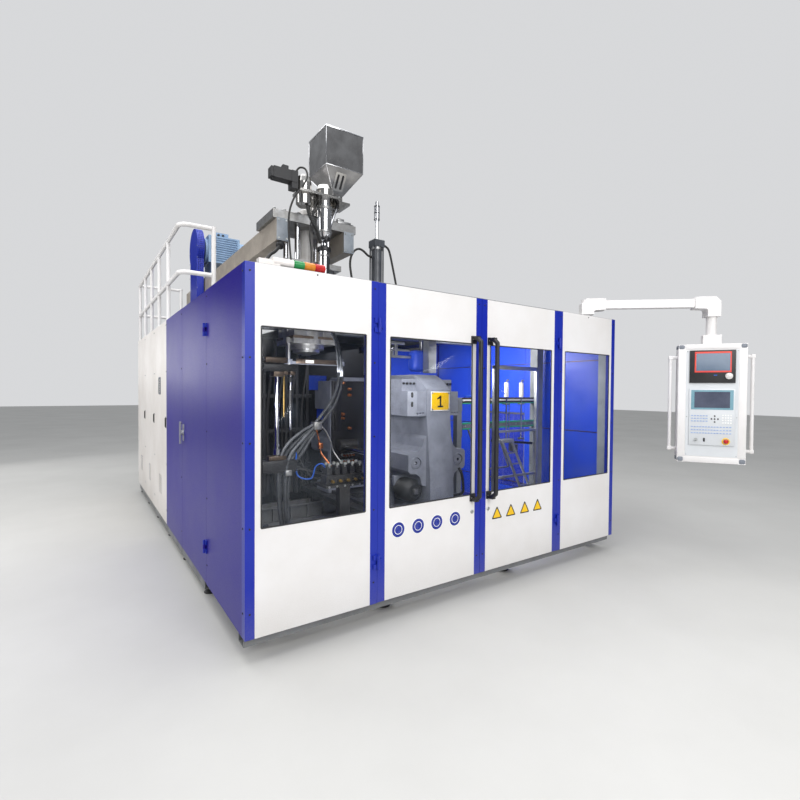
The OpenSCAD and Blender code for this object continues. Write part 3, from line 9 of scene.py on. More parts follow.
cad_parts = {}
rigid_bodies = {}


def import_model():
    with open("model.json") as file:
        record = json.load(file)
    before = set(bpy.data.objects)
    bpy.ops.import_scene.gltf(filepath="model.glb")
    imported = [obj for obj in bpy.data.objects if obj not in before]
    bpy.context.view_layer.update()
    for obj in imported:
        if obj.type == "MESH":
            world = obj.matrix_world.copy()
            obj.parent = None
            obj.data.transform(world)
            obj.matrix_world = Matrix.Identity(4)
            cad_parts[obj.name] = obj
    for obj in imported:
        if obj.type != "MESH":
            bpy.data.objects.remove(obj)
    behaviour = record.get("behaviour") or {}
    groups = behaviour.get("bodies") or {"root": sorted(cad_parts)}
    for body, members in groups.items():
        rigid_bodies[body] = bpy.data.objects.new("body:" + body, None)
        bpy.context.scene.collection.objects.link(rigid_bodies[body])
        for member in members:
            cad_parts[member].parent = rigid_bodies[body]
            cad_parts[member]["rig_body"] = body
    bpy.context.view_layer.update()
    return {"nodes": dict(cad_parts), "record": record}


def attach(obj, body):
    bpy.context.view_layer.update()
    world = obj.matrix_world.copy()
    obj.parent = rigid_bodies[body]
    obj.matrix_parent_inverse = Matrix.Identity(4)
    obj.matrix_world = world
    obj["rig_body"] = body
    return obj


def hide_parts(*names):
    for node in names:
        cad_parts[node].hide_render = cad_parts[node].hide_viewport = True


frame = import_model()
print("frame loaded")

# Sizes below are millimetres in the machine frame: X along the front from the left wall, Y back, Z up.
footOffset = np.array([80.0, 1190.0, 0.0])      # the datum foot in that frame
machine = {"wide": 3734, "deep": 5690, "windowLow": 795, "windowTop": 1985, "cabinet": 940}
meshing = {"weld": 2e-5, "smooth": 38}      # in metres and degrees
leftward, rightward, forward, backward, upward = (-1, 0, 0), (1, 0, 0), (0, -1, 0), (0, 1, 0), (0, 0, 1)
askew = (0.31, 0.87, 0.38)                  # a direction that no piece lies along
signs = [(-1, -1), (-1, 1), (1, -1), (1, 1)]      # the corners of a square, for four of a kind
whole = 2 * np.pi


# Shapes as grids and profiles
def grid(points, wrapU=False, wrapV=False):
    # A surface through rows and columns of points: each cell of four is a face, and wrap joins the last to the first.
    nu, nv = points.shape[:2]
    i = np.arange(nu if wrapU else nu - 1)[:, None]
    j = np.arange(nv if wrapV else nv - 1)[None, :]
    k, l = (i + 1) % nu, (j + 1) % nv
    quads = np.stack([i * nv + j, k * nv + j, k * nv + l, i * nv + l], -1).reshape(-1, 4)
    return points.reshape(-1, 3).astype(float), [quads]


def join(*parts):
    # Meshes together: the points follow each other, and each mesh's face numbers are raised by the points before it.
    points, faces, start = [], [], 0
    for p, f in parts:
        points.append(p)
        faces += [g + start for g in f]
        start += len(p)
    return np.concatenate(points), faces


def repeated(points, faces, count):
    # The faces of one mesh for as many copies as there are, each raised by the points of those before it.
    shift = np.arange(count)[:, None, None] * points
    return [(f[None] + shift).reshape(-1, f.shape[1]) for f in faces]


def capped(mesh, nu, nv):
    # Closes a tube whose rows go round (nu) and columns go along (nv), with one face at each end.
    points, faces = mesh
    first = np.arange(nu) * nv
    return points, faces + [first[::-1][None, :], (first + nv - 1)[None, :]]


def blocks(boxes, edge=1.5, steps=2):
    # Boxes with rounded edges, each given by its low and high corner: the box shrunk by the edge radius, plus that
    # radius times the unit vector at longitude u and latitude v, a quarter turn of u and a half of v for each corner.
    boxes = np.atleast_2d(np.asarray(boxes, float))
    low, high = boxes[:, :3], boxes[:, 3:]
    quarter = np.linspace(0, np.pi / 2, steps)
    u = np.concatenate([quarter + q * np.pi / 2 for q in range(4)])
    v = np.concatenate([quarter - np.pi / 2, quarter])
    sx, sy, sz = (np.repeat(s, steps) for s in ([1, -1, -1, 1], [1, 1, -1, -1], [-1, 1]))
    ray = np.stack([np.cos(v)[None] * np.cos(u)[:, None], np.cos(v)[None] * np.sin(u)[:, None],
                    np.sin(v)[None] + 0 * u[:, None]], -1)
    corner = np.stack(np.broadcast_arrays(sx[:, None], sy[:, None], sz[None, :]), -1)
    mid, half = (low + high) / 2, np.maximum((high - low) / 2 - edge, 0)
    points = mid[:, None, None] + corner * half[:, None, None] + edge * ray
    nu, nv = len(u), len(v)
    one = capped(grid(points[0], wrapU=True), nu, nv)[1]
    return points.reshape(-1, 3), repeated(nu * nv, one, len(mid))


def turned(profile, sides=32):
    # A turned solid: each profile row is a radius and a height, carried round the Z axis. A profile that isn't a closed
    # loop runs straight in to the axis at both ends.
    if profile[0] != profile[-1]:
        profile = [(0, z) for r, z in profile[:1] if r] + list(profile) + [(0, z) for r, z in profile[-1:] if r]
    r, z = np.asarray(profile, float).T
    a = np.linspace(0, whole, sides, endpoint=False) + np.pi / sides
    points = np.stack([np.cos(a)[:, None] * r, np.sin(a)[:, None] * r, z[None] + 0 * a[:, None]], -1)
    return grid(points, wrapU=True)


def axes(along, hint=askew):
    # Three unit vectors, the last along the given direction and the others square to it.
    z = np.asarray(along, float)
    z = z / np.linalg.norm(z)
    x = np.cross(np.asarray(hint, float), z)
    x = x / np.linalg.norm(x)
    return np.stack([x, np.cross(z, x), z])


def stamp(template, places, along=upward, hint=askew):
    # Copies of one small mesh: its points turned so that Z lies along the direction, then moved to each place.
    points, faces = template
    places = np.atleast_2d(np.asarray(places, float))
    moved = places[:, None] + (points @ axes(along, hint))[None]
    return moved.reshape(-1, 3), repeated(len(points), faces, len(places))


def spline(knots, steps=8):
    # A smooth curve: each stretch is the cubic whose slope at a knot is half the step between its neighbours.
    p = np.asarray(knots, float)
    a, b, c, d = (k[:, None] for k in (np.vstack([p[:1], p[:-2]]), p[:-1], p[1:], np.vstack([p[2:], p[-1:]])))
    t = np.linspace(0, 1, steps, endpoint=False)[None, :, None]
    q = 0.5 * (2 * b + (c - a) * t + (2 * a - 5 * b + 4 * c - d) * t ** 2 + (3 * b - a - 3 * c + d) * t ** 3)
    return np.vstack([q.reshape(-1, 3), p[-1:]])


def swept(path, section, hint=askew, size=1.0, closed=False):
    # A section carried along a path: each path point plus the section's first number along the side and its second
    # along the rise, both square to the path. size may change along the way, as on a ribbed hose.
    path = np.asarray(path, float)
    step = np.roll(path, -1, 0) - np.roll(path, 1, 0) if closed else np.gradient(path, axis=0)
    step = step / np.linalg.norm(step, axis=1, keepdims=True)
    side = np.cross(step, np.asarray(hint, float))
    side = side / np.linalg.norm(side, axis=1, keepdims=True)
    rise = np.cross(side, step)
    size = np.broadcast_to(size, len(path))[None, :, None]
    points = path[None] + size * (section[:, 0, None, None] * side[None] + section[:, 1, None, None] * rise[None])
    mesh = grid(points, wrapU=True, wrapV=closed)
    return mesh if closed else capped(mesh, len(section), len(path))


def ring(radius, sides=10):
    # A circle's points, as a section for swept.
    a = np.linspace(0, whole, sides, endpoint=False)
    return np.stack([radius * np.cos(a), radius * np.sin(a)], -1)


def lifted(outline, height=0.0):
    # A flat outline as points in space, all at one height.
    return np.c_[outline, np.full(len(outline), float(height))]


def plate(outline, thick, along=upward, hint=backward, place=(0, 0, 0)):
    # A flat plate: the outline at height 0 and at its thickness, with a side face between each two corners.
    n = len(outline)
    i = np.arange(n)
    sides = np.stack([i, (i + 1) % n, (i + 1) % n + n, i + n], -1)
    mesh = np.vstack([lifted(outline), lifted(outline, thick)]), [sides, i[::-1][None], (i + n)[None]]
    return stamp(mesh, [place], along, hint)


def rounded(width, height, radius, steps=5):
    # A rectangle with rounded corners about its centre: each corner is a quarter circle.
    a = np.linspace(0, np.pi / 2, steps)
    return np.vstack([np.stack([sx * (width / 2 - radius) + radius * np.cos(a + q * np.pi / 2),
                                sy * (height / 2 - radius) + radius * np.sin(a + q * np.pi / 2)], -1)
                      for q, (sx, sy) in enumerate([(1, 1), (-1, 1), (-1, -1), (1, -1)])])


def rim(outline, section, hint=upward, height=0.0):
    # A bead carried round a closed outline.
    return swept(lifted(outline, height), section, hint=hint, closed=True)


def hexHead(across, high, washer=1.25):
    # A hexagon bolt head on its washer, both turned profiles, six-sided and round.
    r, w = across / math.sqrt(3), across / 2 * washer
    head = turned([(r, 2), (r, high * 0.8), (r * 0.86, high)], 6)
    return join(turned([(w, 0), (w, 2)], 14), head)


def socketHead(across, high):
    # A socket cap screw: a turned head with a recess in its top.
    r = across / 2
    return turned([(r, 0), (r, high * 0.85), (r * 0.9, high), (r * 0.5, high), (r * 0.45, high * 0.5)], 14)


def roundHead(across, high):
    # A flanged button screw: a low dome with a small recess.
    r = across / 2
    return turned([(r, 0), (r, high * 0.3), (r * 0.8, high * 0.75), (r * 0.45, high), (r * 0.25, high),
                   (r * 0.22, high * 0.5)], 12)


def every(x, y, z):
    # Every place that has one of the x, one of the y and one of the z.
    return np.stack(np.meshgrid(x, y, z, indexing="ij"), -1).reshape(-1, 3).astype(float)


def collar(axis, low, high, inside, outside):
    # A collar round an upright axis: a turned ring with softened edges.
    e = min(3.0, (high - low) / 4)
    return stamp(turned([(inside, low), (outside - e, low), (outside, low + e), (outside, high - e),
                         (outside - e, high), (inside, high), (inside, low)], 36), [(*axis, 0)])


def collars(axis, rows):
    # Several collars on one axis: each row is a low and a high end, an inside and an outside radius.
    return join(*[collar(axis, *row) for row in rows])


def rod(start, end, radius, sides=16):
    # A straight bar between two points, with flat ends.
    return swept([start, np.add(start, end) / 2, end], ring(radius, sides))


def fanGuard(across, wires):
    # A wire fan guard: rings of wire at even steps and two spokes across them.
    rings = [rim(ring(k, 40), ring(1.6, 6), height=6) for k in np.linspace(across / 2, across * 0.12, wires)]
    spoke = swept([(-across / 2, 0, 8), (0, 0, 8.2), (across / 2, 0, 8)], ring(1.8, 6), hint=upward)
    spokes = [stamp(spoke, [(0, 0, 0)], upward, (math.cos(t), math.sin(t), 0)) for t in (0.78, 2.36)]
    hub = turned([(across * 0.1, 3), (across * 0.1, 8), (0, 9)], 24)
    return join(*rings, *spokes, hub)


# Pieces from shapes
def addPiece(name, mesh, material, body="machine", stands=()):
    # Moves the points to the row frame in metres, welds seams, turns faces outwards and hangs the piece on its body.
    points, faces = mesh
    data = bpy.data.meshes.new(name)
    data.from_pydata(((points - footOffset) / 1000).tolist(), [], [f for g in faces for f in g.tolist()])
    shape = bmesh.new()
    shape.from_mesh(data)
    bmesh.ops.remove_doubles(shape, verts=shape.verts, dist=meshing["weld"])
    bmesh.ops.recalc_face_normals(shape, faces=shape.faces)
    shape.to_mesh(data)
    shape.free()
    data.polygons.foreach_set("use_smooth", np.ones(len(data.polygons), bool))
    data.set_sharp_from_angle(angle=math.radians(meshing["smooth"]))
    data.materials.append(materials[material])
    piece = bpy.data.objects.new(name, data)
    bpy.context.scene.collection.objects.link(piece)
    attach(piece, body)
    if stands:
        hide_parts(*stands)
    return piece


def addCopies(name, shape, places, material, body="machine", facing=None):
    # One shape at many places, upright or with its top turned to face away from a wall.
    copies = stamp(shape, places, facing, upward) if facing else stamp(shape, places)
    return addPiece(name, copies, material, body)


def addBlocks(name, boxes, material, body="machine", edge=3, steps=None):
    return addPiece(name, blocks(boxes, edge, steps or (2 if edge <= 2 else 3)), material, body)


def addHose(name, line, radius, material="hoseRubber", body="machine", ripple=0.0, stands=()):
    # A hose or cable from fitting to fitting: a tube as long as its line, ribbed where ripple isn't zero.
    size = 1 + ripple * np.where(np.arange(len(line)) % 2, 1, -1)
    tube = swept(line, ring(radius, 12 if radius > 8 else 8), size=size)
    piece = addPiece(name, tube, material, body, stands)


def setUp(thing, rows, place):
    # Stands a camera or lamp at a place in metres, with its own axes along the three rows.
    turn = np.eye(4)
    turn[:3, :3], turn[:3, 3] = np.transpose(rows), place
    thing.matrix_world = Matrix(turn.tolist())
    bpy.context.scene.collection.objects.link(thing)


# Camera
view = {"lens": 21.17, "sensor": 36, "clip": (0.05, 200), "place": (-0.874, -3.920, 1.614), "yaw": 34.48,
        "pitch": -1.15, "roll": 0.41}


def makeCamera(v):
    yaw, pitch, roll = (math.radians(v[k]) for k in ("yaw", "pitch", "roll"))
    ahead = np.array([math.sin(yaw) * math.cos(pitch), math.cos(yaw) * math.cos(pitch), math.sin(pitch)])
    right = np.array([math.cos(yaw), -math.sin(yaw), 0.0])
    up = np.cross(right, ahead)
    right, up = right * math.cos(roll) + up * math.sin(roll), up * math.cos(roll) - right * math.sin(roll)
    data = bpy.data.cameras.new("camera")
    data.lens, data.sensor_width, (data.clip_start, data.clip_end) = v["lens"], v["sensor"], v["clip"]
    cam = bpy.data.objects.new("camera", data)
    setUp(cam, [right, up, -ahead], v["place"])
    bpy.context.scene.camera = cam


makeCamera(view)
print("camera set")


# Finishes
def linear(hexColour):
    # One sRGB hex colour as linear numbers.
    s = np.array([int(hexColour[i:i + 2], 16) / 255 for i in (1, 3, 5)])
    return (*np.where(s <= 0.04045, s / 12.92, ((s + 0.055) / 1.055) ** 2.4).tolist(), 1.0)


def node(tree, kind, settings=None, links=None):
    # Adds one node, sets its properties or unlinked sockets by name, and feeds the sockets that links names.
    made = tree.nodes.new("ShaderNode" + kind)
    for key, value in (settings or {}).items():
        if isinstance(key, str) and hasattr(made, key):
            setattr(made, key, value)
        else:
            made.inputs[key].default_value = value
    for key, source in (links or {}).items():
        tree.links.new(source, made.inputs[key])
    return made


def remap(tree, value, start, end, low=0.0, high=1.0):
    # A value's stretch from start to end, laid on the stretch from low to high.
    return node(tree, "MapRange", {"From Min": start, "From Max": end, "To Min": low, "To Max": high},
                {"Value": value}).outputs[0]


def blend(tree, share, under, over):
    # One colour laid over another; the lower may be a socket.
    flat = isinstance(under, str)
    return node(tree, "Mix", {"data_type": "RGBA", 7: linear(over), **({6: linear(under)} if flat else {})},
                {"Factor": share, **({} if flat else {6: under})}).outputs[2]


def arithmetic(tree, operation, first, second):
    # A sum or product of two sockets, or of a socket and a number.
    flat = isinstance(second, float)
    return node(tree, "Math", {"operation": operation, **({1: second} if flat else {})},
                {0: first, **({} if flat else {1: second})}).outputs[0]


def chequer(tree, place, grain, v):
    # Bars of a chequer pattern: two brick-like waves at right angles, kept only behind the deck's front edge.
    turn = node(tree, "Mapping", {"Rotation": (0, 0, math.radians(45)), "Scale": (1000 / v["pitch"],) * 3},
                {"Vector": place})
    cells = node(tree, "TexBrick", {"offset": 0.5, "Color1": (0, 0, 0, 1), "Color2": (0, 0, 0, 1),
                                    "Mortar": (1, 1, 1, 1), "Scale": 1.0, "Mortar Size": 0.07, "Mortar Smooth": 0.6,
                                    "Brick Width": 1.0, "Row Height": 0.5},
                 {"Vector": turn.outputs[0]}).outputs["Color"]
    far = node(tree, "SeparateXYZ", {}, {"Vector": place}).outputs["Y"]
    bars = arithmetic(tree, "MULTIPLY", cells, arithmetic(tree, "GREATER_THAN", far, v["from"]))
    return arithmetic(tree, "ADD", bars, arithmetic(tree, "MULTIPLY", grain, 0.15))


materials = {}


def finish(name, first, second, patch, grainSize, bumpStrength, smoothEnd, roughEnd, f={}):
    # One material: patches of a second tone, a grain of real size in mm for each axis, and roughness from both.
    made = bpy.data.materials.new(name)
    made.use_nodes = True
    tree = made.node_tree
    tree.nodes.clear()
    place = node(tree, "TexCoord").outputs["Object"]
    patches = node(tree, "TexNoise", {"Scale": 1000 / patch, "Detail": 5.0, "Roughness": 0.6},
                   {"Vector": place}).outputs["Fac"]
    sizes = grainSize if isinstance(grainSize, tuple) else (grainSize,) * 3
    fine = node(tree, "Mapping", {"Scale": tuple(1000 / s for s in sizes)}, {"Vector": place})
    grain = node(tree, "TexNoise", {"Scale": 1.0, "Detail": 3.0}, {"Vector": fine.outputs[0]}).outputs["Fac"]
    low, high = f.get("spread", (0.35, 0.65))
    tone = blend(tree, remap(tree, patches, low, high), first, second)
    if "speckle" in f:
        tone = blend(tree, remap(tree, grain, 0.56, 0.72, 0.0, f["speckle"]), tone, f.get("fleck", "#5b5650"))
    if "dust" in f:        # workshop dust that gathers on the lowest 400 mm
        height = node(tree, "SeparateXYZ", {}, {"Vector": place}).outputs["Z"]
        near = arithmetic(tree, "MULTIPLY", remap(tree, height, 0.45, 0.1, 0.0, f["dust"]), grain)
        tone = blend(tree, near, tone, "#8d8880")
    rough = remap(tree, arithmetic(tree, "ADD", patches, grain), 0.7, 1.3, smoothEnd, roughEnd)
    relief = chequer(tree, place, grain, f["chequer"]) if "chequer" in f else grain
    bump = node(tree, "Bump", {"Strength": bumpStrength, "Distance": f.get("depth", 0.3) / 1000},
                {"Height": relief}).outputs[0]
    shader = node(tree, "BsdfPrincipled", {"Metallic": f.get("metal", 0.0), **f.get("extra", {})},
                  {"Base Color": tone, "Roughness": rough, "Normal": bump})
    if "clear" in f:       # share of the surface that is seen, for a clear sheet with smears
        tree.links.new(remap(tree, patches, low, high, *f["clear"]), shader.inputs["Alpha"])
    node(tree, "OutputMaterial", {}, {"Surface": shader.outputs[0]})
    materials[name] = made


def gloss(specular, coat=None, coatRough=0.14):
    return {"Specular IOR Level": specular, **({"Coat Weight": coat, "Coat Roughness": coatRough} if coat else {})}


lens = {"extra": {"Transmission Weight": 0.35}}
finishes = {      # colour, second colour, patch and grain in mm, relief, least and most roughness, and what else
    # Gloss powder coat on steel sheet: faint orange peel (drawn at 9 mm, really 1.5), a darker, more violet copy on the
    # walls as painted shade, a brighter one inside as painted lamp light; satin on the white fronts and grey rear
    # cabinets
    "bluePowderCoat": ("#13259a", "#1b2f9e", 900, 9, 0.10, 0.28, 0.42, {"dust": 0.3, "extra": gloss(0.3, 0.08)}),
    # painted shade: the blue coat in a darker, more violet copy for the side walls and side door
    "shadedVioletBlueCoat": ("#201680", "#281c88", 900, 9, 0.10, 0.3, 0.42, {"dust": 0.15, "extra": gloss(0.18)}),
    # painted light: the blue coat in a brighter copy for the lining, partition and guard inside the machine
    "litInnerBlueCoat": ("#2044c4", "#2a4dc8", 700, 9, 0.12, 0.34, 0.5, {"extra": gloss(0.35, 0.08, 0.2)}),
    "whitePowderCoat": ("#e6e4e4", "#dedbd9", 700, 7, 0.10, 0.38, 0.52, {"dust": 0.35}),
    "greyPowderCoat": ("#e9e4e0", "#ddd7d2", 600, 7, 0.12, 0.38, 0.52, {"dust": 0.5}),
    # Brushed machine paint over welded section steel: uneven gloss, dark flecks, dust low down, and a chequered deck
    "frameGreyPaint": ("#74787d", "#5f6367", 180, 14, 0.25, 0.38, 0.62,
                       {"depth": 0.5, "speckle": 0.35, "fleck": "#55504b", "dust": 0.5}),
    "roofSteel": ("#85878a", "#707377", 260, 12, 0.5, 0.35, 0.6,
                  {"depth": 1.6, "speckle": 0.4, "chequer": {"pitch": 52, "from": 0.98}}),
    "beigePaint": ("#a39a8f", "#8f877d", 160, (16, 6, 6), 0.2, 0.36, 0.55, {"speckle": 0.3, "fleck": "#6a625a"}),
    "steelGreyPaint": ("#8f969e", "#7e858d", 140, 10, 0.2, 0.34, 0.5, {"speckle": 0.25, "fleck": "#5f6469"}),
    # painted shade: near-black for the shade seen through the belt guard's holes and deep in the drive bay
    "paintedShadeBlack": ("#0c0d10", "#15161a", 150, 14, 0.25, 0.8, 0.95,
                   {"speckle": 0.2, "fleck": "#26241f", "extra": gloss(0.2)}),
    "castingGrey": ("#8b8f9b", "#7a7e8a", 110, 22, 0.4, 0.36, 0.56, {"depth": 0.8, "speckle": 0.3, "fleck": "#8f9298"}),
    # Enamel on castings and cylinders
    "whiteGlossPaint": ("#dedcda", "#cbc7c3", 120, 6, 0.1, 0.22, 0.36, {"extra": gloss(0.5, 0.3)}),
    "lightBlueEnamel": ("#8fabc9", "#7f9bbb", 140, 9, 0.2, 0.3, 0.48, {"speckle": 0.2}),
    "darkGreyEnamel": ("#4b4e54", "#3e4146", 120, 8, 0.15, 0.3, 0.46),
    # Clear polycarbonate sheet with a few smears, and moulded lenses lit from outside only
    "clearPolycarbonate": ("#262c34", "#59616b", 350, 40, 0.02, 0.03, 0.10,
                           {"spread": (0.4, 0.75), "clear": (0.06, 0.14), "extra": gloss(0.8)}),
    "greenLens": ("#1d8f4a", "#2aa558", 30, (4, 40, 40), 0.5, 0.12, 0.2, lens),
    "amberLens": ("#e08a1e", "#f0a035", 30, (4, 40, 40), 0.5, 0.12, 0.2, lens),
    "redLens": ("#c81f1f", "#dc3030", 30, (4, 40, 40), 0.5, 0.12, 0.2, lens),
    # Bare and oiled steel: black oxide, tool marks 2 mm apart, hard chrome with grinding rings, heat browning, zinc
    "darkSteel": ("#38393c", "#2b2b2d", 120, 10, 0.2, 0.34, 0.55, {"metal": 0.35, "speckle": 0.25, "fleck": "#77706a"}),
    "milledSteel": ("#a8a9ab", "#8b8a88", 90, (60, 60, 2), 0.22, 0.28, 0.5, {"metal": 0.95}),
    "hardChrome": ("#dcdde0", "#cfd0d4", 200, (50, 50, 3), 0.04, 0.07, 0.16, {"metal": 1.0}),
    "bandSteel": ("#b5b0a8", "#8c7a66", 70, (30, 2, 30), 0.2, 0.25, 0.42, {"metal": 1.0}),
    "brownedSteel": ("#5f5247", "#453a33", 60, (9, 9, 3), 0.25, 0.3, 0.5,
                     {"metal": 0.7, "speckle": 0.3, "fleck": "#8c8175"}),
    "zincPlate": ("#b9bcc0", "#a3a59f", 18, 2, 0.1, 0.25, 0.42, {"metal": 1.0}),
    "blackOxide": ("#2a2a2d", "#3a3a3c", 12, 2, 0.15, 0.32, 0.5, {"metal": 0.6}),
    # Stainless sheet: bright rolled and mirror finished, and a brighter copy on the hopper's folds and rims as painted
    # glints along the edges
    "brightStainless": ("#c9c7c4", "#b7b4b0", 160, 120, 0.12, 0.08, 0.18, {"depth": 1.0, "metal": 1.0}),
    "mirrorStainless": ("#a9a8a8", "#8f8e8e", 130, 150, 0.14, 0.07, 0.17, {"depth": 1.0, "metal": 1.0}),
    "glintStainless": ("#e4e4e6", "#d3d3d6", 80, (60, 60, 4), 0.05, 0.1, 0.2, {"metal": 1.0}),
    # Aluminium, sand cast and tumbled; turned brass and drawn copper fittings
    "castAluminium": ("#b4b6b9", "#9fa1a4", 80, 4, 0.35, 0.36, 0.52, {"metal": 0.9}),
    "turnedBrass": ("#917a48", "#7a6338", 20, (20, 20, 1.5), 0.15, 0.34, 0.5, {"metal": 1.0}),
    "drawnCopper": ("#b8744a", "#98583a", 30, 10, 0.08, 0.24, 0.4, {"metal": 1.0}),
    # Nylon with its fine spark-eroded grain, and the anodised front of the controllers
    "blackNylon": ("#1d1d1f", "#262628", 60, 2, 0.25, 0.38, 0.55),
    "greyNylon": ("#7d828b", "#727780", 50, 2, 0.2, 0.4, 0.55),
    "redNylon": ("#c3201d", "#b21a18", 30, 2, 0.15, 0.25, 0.38),
    "controlGrey": ("#d3d6d9", "#cdd0d3", 200, 2, 0.12, 0.34, 0.46),
    # Rubber: cloth-wrapped hose and extruded edge trim; ribbed conduit, soft tubing, woven belts and strip curtain
    "hoseRubber": ("#202021", "#2b2a29", 50, 3, 0.35, 0.5, 0.68),
    "edgeRubber": ("#242427", "#303033", 60, (3, 3, 30), 0.2, 0.5, 0.66),
    "greyConduit": ("#35373b", "#55585d", 45, 4, 0.3, 0.4, 0.6),
    "blueTubing": ("#2a62c8", "#2458b8", 40, 4, 0.06, 0.2, 0.32),
    "greenBelt": ("#2f9d75", "#268963", 120, 3, 0.25, 0.4, 0.55),
    "greyBelt": ("#6d6b7c", "#5d5b6c", 90, 3, 0.3, 0.45, 0.6),
    "stripVinyl": ("#26349a", "#2f3ca6", 150, 60, 0.06, 0.2, 0.34),
    # Printed vinyl and film, screens behind film, and keys
    "blueVinyl": ("#1c2c8a", "#20318f", 40, 3, 0.05, 0.22, 0.32),
    "yellowVinyl": ("#f2c512", "#ebb90e", 40, 3, 0.05, 0.24, 0.34),
    "whiteVinyl": ("#f1f1f0", "#e8e8e6", 40, 3, 0.05, 0.24, 0.34),
    "blackVinyl": ("#17171a", "#202023", 40, 3, 0.05, 0.24, 0.34),
    "greyScreen": ("#5a6b80", "#63758a", 260, 1, 0.02, 0.08, 0.14),
    "darkScreen": ("#4a4f5f", "#5a5f70", 200, 1, 0.02, 0.08, 0.14),
    "tealFilm": ("#6d97a6", "#78a1af", 120, 2, 0.03, 0.25, 0.35),
    "orangeFilm": ("#e2472e", "#d9342f", 150, 2, 0.03, 0.25, 0.35),
    "keyBlue": ("#9fb4d8", "#8fa6cf", 40, 2, 0.05, 0.35, 0.45),
    # Pale ground screed, nearly matt
    "paleConcrete": ("#c2c1be", "#bcbbb8", 1600, 25, 0.05, 0.75, 0.9, {"extra": gloss(0.12)}),
}
for finishName, row in finishes.items():
    finish(finishName, *row)

slotFinish = {
    "frame_grey": "frameGreyPaint", "dark_steel": "darkSteel", "blue_enamel": "bluePowderCoat",
    "white_enamel": "whitePowderCoat", "light_grey_enamel": "greyPowderCoat", "clear_pane": "clearPolycarbonate",
    "green_lens": "greenLens", "amber_lens": "amberLens", "red_lens": "redLens", "beige_paint": "beigePaint",
    "machined_steel": "milledSteel", "chrome_plate": "hardChrome", "cylinder_white": "whiteGlossPaint",
    "band_steel": "bandSteel", "motor_blue": "lightBlueEnamel", "cast_aluminium": "castAluminium",
    "black_plastic": "blackNylon", "stainless": "brightStainless", "cylinder_grey": "darkGreyEnamel",
    "hose_rubber": "hoseRubber", "platen_grey": "castingGrey", "control_grey": "controlGrey", "red_button": "redNylon",
}
ownFinish = {      # nodes whose finish differs from their slot's; the side walls take the blue's painted-shade copy, the partition its painted-light copy
    "roof_plates": "roofSteel", "hopper": "mirrorStainless", "side_wall_panels": "shadedVioletBlueCoat",
    "side_door": "shadedVioletBlueCoat", "partition_wall": "litInnerBlueCoat", "valve_manifold": "darkSteel",
    "stripe_gear_case": "brightStainless",
}
for part in frame["record"]["subparts"]:
    own = materials[ownFinish.get(part["node"], slotFinish[part["material_slot"]])]
    frame["nodes"][part["node"]].data.materials.clear()
    frame["nodes"][part["node"]].data.materials.append(own)
print("finishes made", len(materials))

# Light and floor
light = {"sky": 0.84, "skyHex": "#eef1f5", "lowHex": "#46484c", "backHex": "#e9eaec", "horizon": (0.26, 0.62),
         "floor": (40000, 10000, 0.5)}      # the floor's half size, how far its middle lies back, and its drop
lamps = {      # place and target in metres, size, watts
    "roofSoft": ((0.5, 0.5, 7.5), (1.2, 0.8, 0.5), 7.0, 420),
    "frontSoft": ((0.4, -7.2, 4.3), (1.9, 0.0, 1.2), 5.2, 425),
    "leftSoft": ((-6.0, 1.6, 3.8), (0.0, 2.4, 1.2), 4.0, 205),
    "wallSoft": ((-2.6, 9.0, 2.45), (-0.1, 1.2, 1.9), 2.2, 38),
    "insideRight": ((2.6, 0.1, 2.0), (3.6, 0.35, 0.8), 0.8, 38),
    "insideBack": ((1.9, 1.15, 2.05), (2.1, 1.5, 0.9), 0.6, 6),
    "clampLamp": ((1.3, -1.02, 1.9), (1.75, -0.4, 0.9), 0.5, 6),
    "chuteLamp": ((2.45, -0.92, 2.08), (3.0, -0.45, 0.9), 0.3, 7),
    "headLamp": ((0.6, -0.75, 1.62), (0.95, 0.2, 2.15), 0.35, 15),
    "bayLamp": ((0.1, -1.08, 1.5), (0.6, -0.7, 1.1), 0.3, 2.6),
}
for lampName, (place, target, size, watts) in lamps.items():
    data = bpy.data.lights.new(lampName, "AREA")
    data.shape, data.size, data.energy = "SQUARE", size, watts
    lamp = bpy.data.objects.new(lampName, data)
    lamp.visible_camera = False
    setUp(lamp, axes(np.subtract(place, target)), place)


def makeWorld(v):
    # A bright sky over a darker horizon for reflections, and a plain pale backdrop behind the machine.
    world = bpy.data.worlds.new("studio")
    world.use_nodes = True
    tree = world.node_tree
    tree.nodes.clear()
    ray = node(tree, "TexCoord").outputs["Generated"]
    height = node(tree, "SeparateXYZ", {}, {"Vector": ray}).outputs["Z"]
    sky = blend(tree, remap(tree, height, *v["horizon"]), v["lowHex"], v["skyHex"])
    shown = blend(tree, node(tree, "LightPath").outputs["Is Camera Ray"], sky, v["backHex"])
    back = node(tree, "Background", {"Strength": v["sky"]}, {"Color": shown})
    node(tree, "OutputWorld", {}, {"Surface": back.outputs[0]})
    bpy.context.scene.world = world


makeWorld(light)
bpy.context.scene.view_settings.view_transform = "Standard"      # colours as they are, without a film curve
reach, back, drop = light["floor"]
across = np.linspace(-reach, reach, 9)
floor = addPiece("floor", grid(np.stack(np.meshgrid(across, across + back, [-drop], indexing="ij"), -1)[:, :, 0]),
                 "paleConcrete")
floor.parent = None
del floor["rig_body"]
print("light and floor set")

